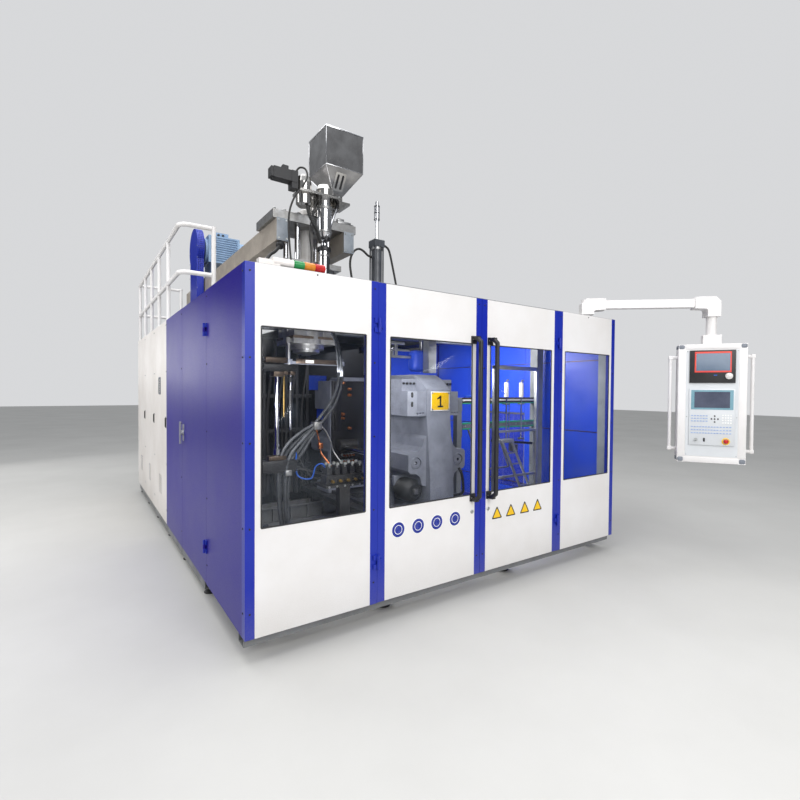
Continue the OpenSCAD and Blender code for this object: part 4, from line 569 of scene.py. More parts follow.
# Front: trims, screws, plain marks
front = {"trim": (9, 7), "screw": (13, 4), "screwRows": (2300, 1800, 1300, 800, 300), "mark": 115, "markHeight": 630,
         "triangle": 122, "triangleHeight": 598, "pulls": {"left": 1777.5, "right": 1956.5}}
low, high = machine["windowLow"], machine["windowTop"]
for name, x1, x2, body in (("left_window", 96, 804, "machine"), ("right_window", 2930, 3638, "machine"),
                           ("left_door", 999.5, 1767.5, "left_door"), ("right_door", 1966.5, 2734.5, "right_door")):
    loop = lifted(rounded(x2 - x1, high - low, 5, 3))[:, [0, 2, 1]] + ((x1 + x2) / 2, 1.2, (high + low) / 2)
    addPiece(name + "_trim", swept(loop, rounded(*front["trim"], 2.4, 3), hint=backward, closed=True), "edgeRubber",
             body)

screw = roundHead(*front["screw"])
toRight = np.array([machine["wide"], 0, 0])


def columns(x, y=0):
    # One screw for each height, at each place along the wall.
    return every(x, y, front["screwRows"])


addCopies("post_screws", screw, columns((29, 871, 2863, 3705)), "blackOxide", facing=forward)
addCopies("sheet_screws", roundHead(11, 3), every((450, 3284), 0, 2332), "blackOxide", facing=forward)
keyLock = turned([(15, 0), (15, 5), (12, 8), (5, 8), (5, 6)], 24)
pullScrews = every((-15, 15), -14, (772, 2018))
for side, x in (("left", 1836), ("right", 1898)):
    body, pullAt = side + "_door", front["pulls"][side]
    addCopies(body + "_screws", screw, columns(x), "blackOxide", body, forward)
    addCopies(body + "_lock", keyLock, [(pullAt, 0, 660)], "zincPlate", body, forward)
    addCopies(side + "_pull_screws", socketHead(10, 5), pullScrews + [pullAt, 0, 0], "zincPlate", body, forward)
addBlocks("left_leaf_gasket", (1861, 6, 160, 1864.6, 34, 2340), "edgeRubber", "left_door", 1.2)


def markDisc(across, high):
    # A thin round plate with a softened rim, as a turned profile.
    r = across / 2
    return turned([(r, 0), (r, high * 0.6), (r - 0.6, high)], 40)


def markTriangle(side, high, radius):
    # A thin triangle with rounded corners: at each corner a third of a circle.
    a = np.linspace(-np.pi / 3, np.pi / 3, 6)
    far = side / math.sqrt(3) - 2 * radius
    turns = np.array([0, 2, 4]) * np.pi / 3 + np.pi / 2
    return plate(np.vstack([np.stack([far * math.cos(t) + radius * np.cos(a + t),
                                      far * math.sin(t) + radius * np.sin(a + t)], -1) for t in turns]), high)


discs = every((1074, 1249, 1423, 1602), 0, front["markHeight"])
triangles = every((2060, 2225, 2399, 2567), 0, front["triangleHeight"])
wide, side = front["mark"], front["triangle"]
for name, shape, places, material, body in (
        ("mark_rims", markDisc(wide, 0.8), discs, "whiteVinyl", "left_door"),
        ("mark_discs", markDisc(wide - 9, 1.3), discs, "blueVinyl", "left_door"),
        ("mark_rings", rim(ring(wide * 0.27, 36), rounded(4, 1.6, 0.6, 2)), discs + [0, -1.2, 0], "whiteVinyl",
         "left_door"),
        ("triangle_rims", markTriangle(side, 0.8, 7), triangles, "blackVinyl", "right_door"),
        ("triangle_faces", markTriangle(side - 34, 1.3, 4), triangles, "yellowVinyl", "right_door")):
    addCopies(name, shape, places, material, body, forward)
print("front dressed")

# Side walls and back
walls = {"vent": (120, 190), "slats": 7, "pull": (42, 120), "pullHeight": 1250, "fan": 200, "outlet": (600, 930),
         "outletAt": (1450, 885)}


def louvrePanel(wide, high, slats):
    # A frame with sloping slats: each slat is a flat bar turned about its long edge, and the frame a rounded loop.
    half = wide / 2 - 4
    bar = plate([(-half, -9), (half, -9), (half, 9), (-half, 9)], 1.5, along=(0, -0.7, 0.7), hint=(0, 0.7, 0.7))
    return join(rim(rounded(wide, high, 6, 4), rounded(10, 9, 2, 3)),
                *[(bar[0] + [0, h, 3], bar[1]) for h in np.linspace(-high / 2 + 14, high / 2 - 14, slats)])


def cupPull(wide, long):
    # A recessed pull: a rounded plate and a raised lip carried along its upper edge.
    lip = np.stack([np.zeros(9), np.linspace(-long / 2 + 12, long / 2 - 12, 9), np.full(9, 8.0)], -1)
    return join(plate(rounded(wide, long, 10, 5), 4), swept(lip, rounded(10, 9, 3, 4), hint=upward))


vent, pull, pitch = louvrePanel(*walls["vent"], walls["slats"]), cupPull(*walls["pull"]), machine["cabinet"]
cabinets = [2895 + pitch * k for k in range(3)]
for side, out, away, ventName, vents in (("left", leftward, 0 * toRight, "left_wall_vent", [3350]),
                                         ("right", rightward, toRight, "right_wall_vents", [3350, 4290])):
    addCopies(side + "_wall_screws", screw, columns(0, (40, 955, 1975, 2845)) + away, "blackOxide", facing=out)
    addCopies(side + "_cabinet_screws", screw, columns(0, [y + d for y in cabinets for d in (0, 890)]) + away,
              "zincPlate", facing=out)
    addCopies(ventName, vent, [away + [3 * out[0], y, 1650] for y in vents], "greyNylon", facing=out)
    addCopies(side + "_cabinet_pulls", pull, [away + [0, y + 15, walls["pullHeight"]] for y in cabinets], "blackNylon",
              facing=out)
backX = 3.3 + (machine["wide"] - 6.6) / 4 * np.arange(5)
deep = machine["deep"]
addCopies("back_screws", screw, columns([x + s for x in backX for s in (-24, 24) if 20 < x + s < 3714], deep),
          "zincPlate", facing=backward)
addCopies("back_cabinet_pulls", pull, every(backX[:4] + 60, deep, walls["pullHeight"]), "blackNylon", facing=backward)
fanPlaces = every(backX[1:3] + 466, deep, (2050, 500))
addCopies("back_fan_plates", plate(rounded(230, 230, 12, 4), 3), fanPlaces, "blackNylon", facing=backward)
addCopies("back_fan_guards", fanGuard(walls["fan"], 9), fanPlaces, "zincPlate", facing=backward)
outlet = lifted(rounded(*walls["outlet"], 6, 3))[:, [2, 0, 1]] + (machine["wide"] - 1, *walls["outletAt"])
addPiece("outlet_trim", swept(outlet, rounded(10, 9, 2.5, 3), hint=rightward, closed=True), "edgeRubber")
feet = np.array([(x, 1190 + k * 885.9, 24.0) for k in range(6) for x in (80, 3654)]
                + [(x, 230, 24.0) for x in (1098, 2378)])
addCopies("foot_nuts", turned([(20.2, 0), (20.2, 12), (17, 15)], 6), feet, "zincPlate")
addCopies("foot_pads", turned([(52, 0), (52, 5), (47, 8.5)], 32), feet * [1, 1, 0], "hoseRubber")
addCopies("side_lock_plate", plate(rounded(60, 150, 10, 5), 3), [(0, 1890, 1220)], "zincPlate", "side_door", leftward)
print("walls dressed")

# Control station, built as width, depth and height of its housing
station = {"tip": (4284.4, -662.4), "turn": -57.7, "half": 280, "deep": 80, "low": 940, "top": 2080}
h, d, lo, hi = (station[k] for k in ("half", "deep", "low", "top"))


def turnedAbout(mesh, degrees, place):
    # A mesh turned about the upright axis and moved to a place.
    c, s = math.cos(math.radians(degrees)), math.sin(math.radians(degrees))
    return mesh[0] @ np.array([[c, s, 0], [-s, c, 0], [0, 0, 1]]) + place, mesh[1]


def stationPiece(name, mesh, material):
    addPiece(name, turnedAbout(mesh, station["turn"], [*station["tip"], 0]), material, "control_station")


def stationCopies(name, shape, places, material):
    stationPiece(name, stamp(shape, places, forward, upward), material)


corners = every((-h - 60, h + 60), 0, (lo + 120, hi - 120))
for name, material, edge, steps, boxes in (
        ("station_front", "controlGrey", 0.6, 2, (-214, -d - 1.2, lo + 62, 214, -d + 1, hi - 56)),
        ("station_profiles", "whitePowderCoat", 5, 4,
         [(-222, -d - 4, hi - 46, 222, d + 2, hi + 1.5), (-222, -d - 4, lo - 1, 222, d + 2, lo + 50),
          (-h - 1.5, -d - 3, lo + 56, -216, d + 1.5, hi - 50), (216, -d - 3, lo + 56, h + 1.5, d + 1.5, hi - 50)]),
        ("station_caps", "greyNylon", 18, 5,
         [(x, -d - 5, z, x + w, d + 3, top) for z, top in ((hi - 48, hi + 2), (lo - 2, lo + 54))
          for x, w in ((-h - 3, h - 220), (223, h - 220))]),
        ("station_back_ribs", "whitePowderCoat", 1.5, 2,
         [(x - 6, d - 1, lo + 120, x + 6, d + 3, hi - 120) for x in np.linspace(-180, 180, 7)]),
        ("handle_corners", "whitePowderCoat", 6, 4, np.c_[corners - [19, 17, 19], corners + [19, 17, 19]]),
        # Upper controller: black glass front, red-edged screen and a small lamp
        ("controller_case", "blackNylon", 2.5, 3, (-186.5, -95.6, 1708.5, 186.5, -80.4, 2021.5)),
        ("controller_edge", "orangeFilm", 0.6, 2, (-146, -97, 1809, 152, -95.2, 2007)),
        ("controller_screen", "greyScreen", 0.5, 2, (-134, -98, 1824, 141, -96.6, 1991)),
        ("controller_lamp", "blueTubing", 0.5, 2, (12, -96.6, 1778, 38, -95.4, 1785)),
        # Lower controller: keypad case, dark screen with a teal rim, and a port
        ("keypad_case", "controlGrey", 3, 3, (-186, -91.6, 1109, 186, -80.4, 1651)),
        ("keypad_rim", "tealFilm", 0.6, 2, (-170, -93, 1452, 174, -91.2, 1640)),
        ("keypad_screen", "darkScreen", 0.5, 2, (-143, -94, 1470, 146, -92.6, 1623)),
        ("data_port", "blackNylon", 1.2, 2, (-66, -94, 1144, -50, -91, 1180))):
    stationPiece(name, blocks(boxes, edge, steps), material)


def keyRows(x1, x2, count, heights, size=(17, 9)):
    # Keys at even steps along each row, as low rounded blocks.
    half = np.array([size[0] / 2, 1.6, size[1] / 2])
    mid = np.array([(x, -93.0, z) for z in heights for x in np.linspace(x1, x2, count)])
    return blocks(np.c_[mid - half, mid + half], 0.8)


lower = (1287, 1257, 1227)
stationPiece("blue_keys", join(keyRows(-160, -40, 6, (1393, 1367, 1341)), keyRows(-160, -66, 5, lower),
                               keyRows(-44, 50, 5, lower), keyRows(76, 152, 4, lower)), "keyBlue")
stationPiece("pale_keys", keyRows(92, 156, 4, (1400, 1376, 1352, 1328), (13, 13)), "whiteVinyl")
arrows = [(x, -92, z) for x, z in ((26, 1392), (26, 1336), (0, 1364), (52, 1364), (26, 1364))]
stationCopies("arrow_keys", turned([(7, 0), (7, 2), (5.5, 3)], 16), arrows, "blackVinyl")
knob = turned([(31, 0), (31, 4), (28, 7), (26, 16), (22, 19), (0, 19.5)], 40)
grips = stamp(turned([(3.4, 0), (3.4, 11), (0, 12)], 8), lifted(ring(26.5, 24), 5))
stationCopies("controller_knob", join(knob, grips), [(133, -95.6, 1773)], "whiteGlossPaint")
lockFace = turned([(15, 0), (15, 6), (12, 9), (4, 9), (4, 6)], 28)
key = join(lockFace, blocks((-3, -1.5, 8, 3, 1.5, 34), 0.8), blocks((-11, -2, 30, 11, 2, 50), 1.6, 3))
stationCopies("key_switch", key, [(-126, -91, 1161)], "zincPlate")
stopRing = turned([(24, 0), (33, 0), (33, 3), (30, 5), (24, 5), (24, 0)], 40)
stationCopies("stop_ring", stopRing, [(118, -90, 1152)], "yellowVinyl")
stationCopies("station_screws", roundHead(9, 3), every((-204, 204), -d - 1, (lo + 74, 1380, hi - 68)),
              "zincPlate")

# Arm: cast elbows over both ends of the box section
arm = {"pivot": (3418, 115, 2480), "turn": -41.9, "long": 1164, "elbow": (170, 116), "drops": (94, 128)}


def elbow(reach, drop, wide):
    # A cast elbow: its side outline, with a cut corner, carried across the arm's width, and a lip round its mouth.
    h = wide / 2
    side = [(reach, h - 4), (reach, -h + 4), (h + 14, -h), (h, -h - 14), (h, -drop), (-h, -drop), (-h, h - 46),
            (-h + 44, h), (reach - 40, h)]
    return join(plate(side, wide, forward, upward, (0, h, 0)),
                blocks((-h - 3, -h - 3, -drop - 6, h + 3, h + 3, -drop + 6), 3, 3))


near, far = (elbow(arm["elbow"][0], drop, arm["elbow"][1]) for drop in arm["drops"])
both = join(near, (far[0] * [-1, 1, 1] + [arm["long"], 0, 0], far[1]))
addPiece("arm_elbows", turnedAbout(both, arm["turn"], arm["pivot"]), "whitePowderCoat", "swivel_arm")
addCopies("arm_flange_bolts", hexHead(10, 7), every((3356, 3480), (109, 175), 2368), "zincPlate")
print("control station dressed")

# Roof: platform, heads and extruders
roof = {"stripe": (1020, 1115), "hopper": (1185, 1225), "hopperHalf": 183, "hopperLow": 3582, "hopperTop": 3922,
        "blowAxis": (1758, 1430), "rods": (988, 1430, 3160), "rodReach": (150, 140), "fan": 300}
addBlocks("beam_end_plates", [(x, 1193, 2893, x + 104, 1201, 3087) for x in (616, 1256)], "steelGreyPaint", edge=2.5)
addCopies("beam_end_screws", hexHead(13, 7), every((634, 702, 1274, 1342), 1193, (2913, 3067)), "zincPlate",
          facing=forward)
addCopies("top_plate_bolts", hexHead(26, 17), np.vstack([every((610, 1366), (1240, 1420, 1600), 3160),
                                                         every((700, 1180), 1236, 3160)]), "zincPlate")
rods, reach = np.array(roof["rods"]), roof["rodReach"]
addCopies("guide_rod_nuts", hexHead(58, 34), [rods + (sx * reach[0], sy * reach[1], 0) for sx, sy in signs],
          "milledSteel")
addBlocks("top_plate_clamp", [(1206, 1213, 3160, 1340, 1262, 3186), (1206, 1216, 3184, 1270, 1258, 3206)],
          "milledSteel", edge=2.5)

# The blowing cylinder's two hoses, from its ports to the hose mast and the roof, along the routes of their solids
blowHoses = {
    "right": [(1814, 3120), (1828, 3120), (1838, 3120), (1870, 3112), (1912, 3070), (1960, 2900), (2020, 2650),
              (2055, 2450), (2060, 2410), (2060, 2390), (2060, 2375)],
    "left": [(1702, 2980), (1690, 2980), (1680, 2980), (1650, 2988), (1600, 3022), (1550, 3034), (1500, 3008),
             (1462, 2945), (1450, 2860), (1468, 2740), (1505, 2580), (1545, 2440), (1560, 2380), (1560, 2350),
             (1560, 2331)],
}
for side, route in blowHoses.items():
    addHose("blow_hose_" + side, spline([(x, roof["blowAxis"][1], z) for x, z in route], 6), 11, stands=("hoses",))

stripe = roof["stripe"]
addPiece("stripe_collars", collars(stripe, [(3198, 3224, 60, 72), (2998, 3016, 60, 69), (2790, 2806, 30, 52),
                                            (3120, 3128, 60, 66.5)]), "milledSteel")
addPiece("stripe_dark_collars", collars(stripe, [(2838, 2872, 30, 60), (2940, 2958, 40, 56), (3300, 3316, 60, 80)]),
         "blackOxide")
addCopies("stripe_flange_bolts", hexHead(10, 8), lifted(ring(66, 8) + stripe, 3224), "zincPlate")
addPiece("stripe_strut", rod((1160, 1135, 3288), (1008, 1056, 2920), 11), "hardChrome")
slope = np.array([152, 79, 368]) / np.linalg.norm([152, 79, 368])
endCap = turned([(15, 0), (17, 4), (17, 46), (14, 52)], 20)
addPiece("strut_ends", stamp(endCap, [(1006, 1055, 2915), np.array([1160, 1135, 3288]) - slope * 52], slope),
         "blackOxide")
mountAt = ((782, 1045), (782, 1185), (1130, 1045), (1130, 1200), (1245, 1285))
addCopies("stripe_mount_bolts", hexHead(16, 10), [(x, y, 3312) for x, y in mountAt], "zincPlate")

# Cables and hoses on the roof: knots, steps between them, radius and ripple
roofHoses = {
    "stripe_motor_cable": ([(754, 1115, 3472), (782, 1100, 3508), (822, 1076, 3498), (832, 1054, 3432),
                            (790, 1042, 3340), (716, 1040, 3230), (672, 1040, 3110), (660, 1038, 2980),
                            (668, 1030, 2800), (676, 990, 2580), (684, 945, 2430), (685, 938, 2362)], 6, 8, 0),
    "heater_cable": ([(948, 1092, 3290), (905, 1052, 3200), (868, 1040, 3080), (850, 1042, 2940), (872, 1060, 2800),
                      (868, 1060, 2600), (840, 980, 2450), (830, 940, 2362)], 6, 6, 0),
    "stripe_ribbed_hose": ([(842, 1060, 3186), (838, 1040, 3130), (868, 1030, 3050), (908, 1032, 2990),
                            (940, 1050, 2935), (972, 1082, 2905)], 12, 15, 0.13),
    "beam_hose": ([(668, 1236, 2880), (640, 1200, 2840), (590, 1160, 2780), (520, 1100, 2720), (450, 1040, 2600),
                   (420, 980, 2450), (418, 930, 2360)], 8, 14, 0),
}
for name, (knots, steps, radius, ripple) in roofHoses.items():
    addHose(name, spline(knots, steps), radius, ripple=ripple)
cableGland = turned([(15, -8), (15, 6), (11, 10), (11, 22), (9, 30)], 12)
addCopies("roof_cable_glands", cableGland, [(685, 938, 2362), (830, 940, 2362)], "blackNylon")
beamEnd = turned([(30, -20), (34, -12), (34, 22), (24, 30)], 24)
beamEnds = join(collar((418, 930), 2352, 2386, 8, 26), stamp(beamEnd, [(655, 1218, 2862)], (-0.4, -0.4, -0.8)))
addPiece("beam_hose_ends", beamEnds, "blackNylon")

# Hopper: folded rim and corner folds, painted brighter as glints along the edges, and a sight glass with two slots on
# the front taper, painted dark for the shade inside the hopper
hx, hy, half, lowEdge, topEdge = *roof["hopper"], roof["hopperHalf"], roof["hopperLow"], roof["hopperTop"]
loop = rounded(2 * half + 3, 2 * half + 3, 4, 3) + [hx, hy]
rims = [rim(loop, rounded(w, t, 1.6, 3), height=z) for z, w, t in ((topEdge - 7, 7, 13), (lowEdge + 2, 3, 5))]
folds = [(hx + sx * half - 2.4, hy + sy * half - 2.4, lowEdge, hx + sx * half + 2.4, hy + sy * half + 2.4, topEdge - 12)
         for sx, sy in signs]
addPiece("hopper_rim_and_fold_glints", join(*rims, blocks(folds, 1.6)), "glintStainless")
taper = [swept([(hx + sx * r, hy + sy * r, lowEdge - fall) for r, fall in ((half, 0), (114, 95), (47, 188))],
               ring(2.6, 8)) for sx, sy in signs]
addPiece("hopper_taper_fold_glints", join(*taper), "glintStainless")
fall = np.array([0, 45 - half, 190.0])
fall = fall / np.linalg.norm(fall)
facing, sight = np.array([0, -fall[2], fall[1]]), (hx - 22, hy - 114, lowEdge - 95)
# painted shade: the sight glass's two slots are black plates for the dark inside of the hopper
slots = join(*[plate(rounded(19, 124, 9, 6), 7, place=(x, 0, 0)) for x in (-23, 23)])
for name, shape, material in (("frame", plate(rounded(104, 158, 12, 5), 5), "brightStainless"),
                              ("slots", slots, "blackNylon")):
    addPiece("hopper_sight_" + name, stamp(shape, [sight], facing, fall), material)
addPiece("hopper_neck_flange", join(plate(rounded(132, 132, 14, 4), 9, hint=askew, place=(hx, hy, 3312)),
                                    stamp(hexHead(12, 8), [(hx + sx * 50, hy + sy * 50, 3321) for sx, sy in signs])),
         "milledSteel")

# Blowing cylinder and its rod, motor fan and belt guard
blow = roof["blowAxis"]
blowScrews = [(blow[0] + sx * 44, blow[1] + sy * 44, 3150) for sx, sy in signs]
addCopies("blow_cylinder_screws", socketHead(16, 12), blowScrews, "zincPlate")
addPiece("blow_gland", collar(blow, 3149, 3157, 17, 30), "turnedBrass")
addPiece("coupling_rings", collars(blow, [(3362, 3374, 20, 30), (3428, 3440, 20, 29.4), (3494, 3506, 20, 30)]),
         "blackOxide", "blow_pin")
addPiece("blow_tube_bands", collars(blow, [(2560, 2580, 50, 57), (3052, 3080, 50, 60)]), "milledSteel")
addCopies("motor_fan_guard", fanGuard(roof["fan"], 9), [(1190, 4150, 3510)], "blackOxide", facing=rightward)
addCopies("belt_guard_screws", roundHead(14, 4), every(518, (3908, 4392), (2750, 2950, 3150, 3350, 3500)),
          "zincPlate", facing=leftward)
dots = []       # punched holes over the guard's round front, drawn as near-black discs for the painted shade behind them, one row after another down the curve
for turn in np.radians(np.arange(-8, 66, 6)):
    away = np.array([0, -math.cos(turn), math.sin(turn)])
    dots.append(stamp(turned([(5.5, 0), (5.5, 0.8)], 10),
                      [[562 + x, 4150, 3509] + away * 264.9 for x in (-30, -10, 10, 30)], away, rightward))
addPiece("belt_guard_holes", join(*dots), "paintedShadeBlack")
addCopies("motor_box_glands", turned([(16, 0), (16, 12), (11, 16), (11, 30)], 12), every((820, 880), 4060, 3730),
          "blackNylon", facing=forward)
print("roof dressed")

# Behind the first front panel: trim rods, hose bundle, fittings and the drive bay, its depths painted near-black as
# shade
bay = {"rodAt": (298, 300), "pinAt": (392, 300), "hose": 11, "bottles": (290, 450), "fittingsAt": 612,
       "fittingPitch": 58}
rodAt, pinAt = bay["rodAt"], bay["pinAt"]
addBlocks("trim_rod_stand", [(100, 276, 150, 160, 332, 1110), (100, 276, 1078, 240, 332, 1122),
                             (190, 262, 1066, 424, 338, 1146), (150, 276, 1744, 214, 330, 1800),
                             (150, 330, 1748, 198, 812, 1796), (196, 268, 1736, 424, 332, 1782)], "blackOxide", edge=4)
addBlocks("trim_rod_clamps", [(262, 258, 1700, 334, 342, 1734), (330, 262, 1712, 362, 336, 1736),
                              (374, 262, 1712, 412, 336, 1736), (206, 254, 1790, 356, 330, 1826),
                              (236, 270, 1146, 352, 330, 1176)], "brownedSteel", edge=4)
rodCollars = collars(rodAt, [(1500, 1530, 12, 19), (1180, 1222, 12, 22), (1236, 1250, 12, 19)])
addPiece("trim_rod", join(rod((*rodAt, 1150), (*rodAt, 1740), 13, 24), rodCollars), "hardChrome")
addPiece("brass_rod", rod((346, 300, 1432), (346, 300, 1740), 7), "turnedBrass")
addPiece("guide_pin", rod((*pinAt, 1343), (*pinAt, 1740), 7), "hardChrome")
addPiece("guide_pin_sleeve", collars(pinAt, [(1471, 1613, 6, 13), (1666, 1700, 6, 13)]), "blackNylon")
knots = np.array([(388, 286, 560), (352, 284, 720), (338, 284, 900), (346, 290, 1060), (380, 296, 1170),
                  (440, 300, 1240), (512, 300, 1312), (580, 302, 1366), (650, 304, 1440), (724, 306, 1540),
                  (782, 330, 1690), (824, 440, 1930), (846, 640, 2120), (856, 812, 2226)], float)
fan = np.interp(np.arange(len(knots)), [0, 2, 5, 7, len(knots) - 1], [0.9, 1.2, 1.5, 0.55, 0.6])[:, None]
offsets = np.array([(-30, 0, 20), (18, 14, -26), (2, -16, 4), (-12, 20, -4), (26, 4, -40)])
# Five ribbed hoses fan out of one clamp, and two of them go on to the roof
for number, offset in enumerate(offsets, 1):
    line = spline((knots + offset * fan)[:(14 if number < 3 else 8)], 10)
    addHose("bay_hose_%d" % number, line, bay["hose"], "greyConduit", ripple=0.12)
addBlocks("bundle_clamp", [(552, 268, 1338, 612, 332, 1392), (340, 250, 1040, 388, 324, 1080)], "milledSteel", edge=6)
addBlocks("bundle_socket", [(330, 244, 470, 470, 330, 552), (352, 252, 540, 432, 322, 572)], "darkSteel", edge=5)
thinLine = spline([(590, 296, 1378), (640, 290, 1334), (684, 286, 1250), (706, 284, 1180), (740, 240, 1110),
                   (752, 200, 1088)])
addPiece("steel_line", swept(thinLine, ring(5, 8)), "milledSteel")
copperLine = spline([(576, 292, 1340), (592, 288, 1280), (600, 284, 1220), (612, 280, 1170), (640, 230, 1110),
                     (650, 200, 1088)])
addPiece("copper_line", join(swept(copperLine, ring(6, 8)), blocks((588, 272, 1204, 622, 300, 1246), 5, 3)),
         "drawnCopper")
for name, start, dip, material in (("air_line_1", (600, 190, 1080), (520, 250, 1010), "blueTubing"),
                                   ("air_line_2", (720, 190, 1080), (600, 268, 1000), "hoseRubber")):
    line = [start, (start[0] - 20, 200, 1112), (dip[0] + 30, 240, 1090), dip, (dip[0] - 90, 270, 1040),
            (430, 290, 1190)]
    addHose(name, spline(line), 5, material)
addPiece("slanted_bar", swept([(250, 286, 1146), (440, 286, 1084), (640, 286, 1020)], rounded(16, 34, 4, 3),
                              hint=backward), "blackOxide")

# Fittings on the valve manifold: elbows on top, tees in front, and blanking plugs
fx = bay["fittingsAt"] + bay["fittingPitch"] * np.arange(-1, 5)
bend = swept(spline([(0, 0, -2), (0, 0, 10), (0, -4, 20), (0, -14, 26), (0, -30, 26)], 4), ring(8, 12))
elbowFit = join(bend, swept([(0, 0, -2), (0, 0, 3), (0, 0, 8)], ring(11, 6)),
                swept([(0, -26, 26), (0, -30, 26), (0, -38, 26)], ring(11, 6)))
addCopies("manifold_elbows", elbowFit, every(fx[1:], (158, 214), 1088), "zincPlate")
tee = join(turned([(10, 0), (10, 12), (7, 14), (7, 26)], 12), turned([(12, 8), (12, 12)], 6))
addCopies("manifold_tees", tee, every(fx[1:], 112, 1002), "turnedBrass", facing=forward)
addCopies("manifold_plugs", hexHead(12, 6), every(fx + 29, 96, 968), "zincPlate", facing=forward)
addBlocks("valve_heads", [(x - 16, 150, 1086, x + 16, 212, 1096) for x in fx[1:]], "blackNylon")

# Oil bottles and their tray at the foot of the bay
bottle = turned([(58, 0), (64, 10), (64, 400), (56, 440), (36, 466), (22, 474), (22, 506), (14, 512)], 32)
addCopies("oil_bottles", bottle, every(bay["bottles"], 500, 156), "darkGreyEnamel")
addBlocks("bottle_tray", [(110, 410, 138, 540, 590, 156), (110, 560, 300, 540, 568, 340),
                          (110, 410, 138, 124, 590, 350), (520, 410, 138, 534, 590, 350)], "darkSteel", edge=2)
addPiece("bottle_straps", join(*[collar((x, 500), 320, 340, 63, 67) for x in bay["bottles"]]), "bandSteel")

# Near-black sheets in front of the rear wall, painted shade for the dark depths of the drive bay seen through the left
# window, with two gaps between them, ribs and pipes on them
sheets = [(905, 152, 1500, 2205), (1500, 1786, 1900, 2205), (1500, 1386, 1900, 1614), (1500, 1255, 1602, 1386),
          (1698, 1255, 1900, 1386), (1732, 1614, 1900, 1786), (1500, 152, 1900, 1255), (1900, 1255, 2310, 2205)]
addBlocks("drive_bay_shade_sheets", [(x1, 2540, z1, x2, 2552, z2) for x1, z1, x2, z2 in sheets], "paintedShadeBlack", edge=1,
          steps=2)
addBlocks("drive_bay_ribs", [(x, 2512, 400, x + 34, 2541, 2190) for x in range(930, 1451, 130)]
          + [(905, 2508, z, 1520, 2541, z + 44) for z in (700, 1120, 1520, 1920)], "darkSteel", edge=2)
rise = [(0, 2517, 420), (6, 2515, 800), (-8, 2516, 1300), (30, 2515, 1700), (90, 2517, 2080)]
addPiece("drive_bay_pipes", join(*[swept(spline(np.add(rise, (x, 0, 0))), ring(r, 10)) for x, r in
                                   ((985, 20), (1120, 13), (1160, 13), (1262, 22), (1400, 16))]), "hoseRubber")

# Mould water manifold on the rear platen: dark plate, copper nipples, ribbed drum and two rows of fittings
addBlocks("mould_manifold", [(1444, 1796, 842, 2072, 1829.5, 1712), (1462, 1776, 1180, 1540, 1800, 1690)], "blackOxide",
          "rear_platen")
nipple = turned([(17, 0), (17, 10), (11, 12), (11, 30), (14, 32), (14, 44), (8, 48)], 14)
drum = turned([(36, 0)] + [(62 - 7 * (i % 2), 14 + 10 * i) for i in range(22)] + [(36, 242)], 28)
fitting = turned([(15, 0), (15, 8), (10, 9), (10, 22), (16, 24), (16, 40), (9, 44), (9, 60)], 12)
fittingCap = turned([(12, 40), (12, 66)], 12)
nipples = [(x, 1796, z) for x, z in ((1560, 1690), (1640, 1626), (1640, 1561), (1560, 1357), (1560, 1313),
                                     (1642, 1202))]
pairs = every(range(1560, 1669, 36), 1796, (916, 852))
for name, shape, places, material, out in (("mould_nipples", nipple, nipples, "drawnCopper", forward),
                                           ("ribbed_drum", drum, [(1474, 1736, 1030)], "hoseRubber", rightward),
                                           ("mould_fittings", fitting, pairs, "zincPlate", forward),
                                           ("mould_fitting_caps", fittingCap, pairs, "drawnCopper", forward)):
    addCopies(name, shape, places, material, "rear_platen", out)

# Cutter: bare steel plate, drawn matt white as a painted glint, pins and side flats on the link arm; below the head,
# its block's edges
cutter = {"pivot": (775, 1330, 1860), "long": 530}
cx, cy, cz = cutter["pivot"]
tip = cx + cutter["long"]
addPiece("cutter_pins", join(stamp(hexHead(30, 14), [(tip, cy, cz + 40)]),
                             stamp(turned([(26, 0), (26, 5)], 28), [(tip, cy, cz - 5)])), "milledSteel", "cutter")
addBlocks("cutter_side_plate", (cx + 60, cy - 32, cz - 8, cx + 480, cy - 23, cz + 34), "brownedSteel", "cutter")
# painted highlight: the bare plate is matt white for the glint off its bare steel
addBlocks("cutter_bare_plate_glint", (cx + 150, cy - 34, cz - 1, cx + 232, cy - 31.5, cz + 26), "whiteVinyl", "cutter", 1)
addBlocks("head_block_edge", [(782, 1216, 2074, 1196, 1231, 2098), (776, 1222, 2074, 790, 1640, 2098),
                              (782, 1216, 2226, 1196, 1229, 2240)], "brownedSteel", edge=2)
print("first bay dressed")

# Clamp: station plate, bolts, rings and the drive under the lobe
clamp = {"plate": (1770, 1525), "plateHalf": (102, 82.5), "axis": 1758, "lobes": (230, 1010)}
(px, pz), (pw, ph), axis, body = clamp["plate"], clamp["plateHalf"], clamp["axis"], "front_platen"
addBlocks("station_plate_border", (px - pw, 392.4, pz - ph, px + pw, 395.2, pz + ph), "whiteVinyl", body, 0.8)
addBlocks("station_plate_face", (px - pw + 8, 391.4, pz - ph + 8, px + pw - 8, 393.4, pz + ph - 8), "yellowVinyl", body,
          0.6, 2)
flag = plate([(-34, 14), (-34, 28), (-4, 46), (4, 46), (4, 30)], 2, forward, upward, (px, 392.4, pz))
stroke = [(px - 9, 390.4, pz - 48, px + 9, 392.4, pz + 48), (px - 30, 390.4, pz - 52, px + 30, 392.4, pz - 38)]
addPiece("station_number_one", join(blocks(stroke, 0.6), flag), "blackVinyl", body)
side, lobeHigh = clamp["lobes"]
fins = [(0, 0), (74, 0)] + [(96 - 9 * (i % 2), 8 + 7 * i) for i in range(24)] + [(70, 178), (58, 190)]
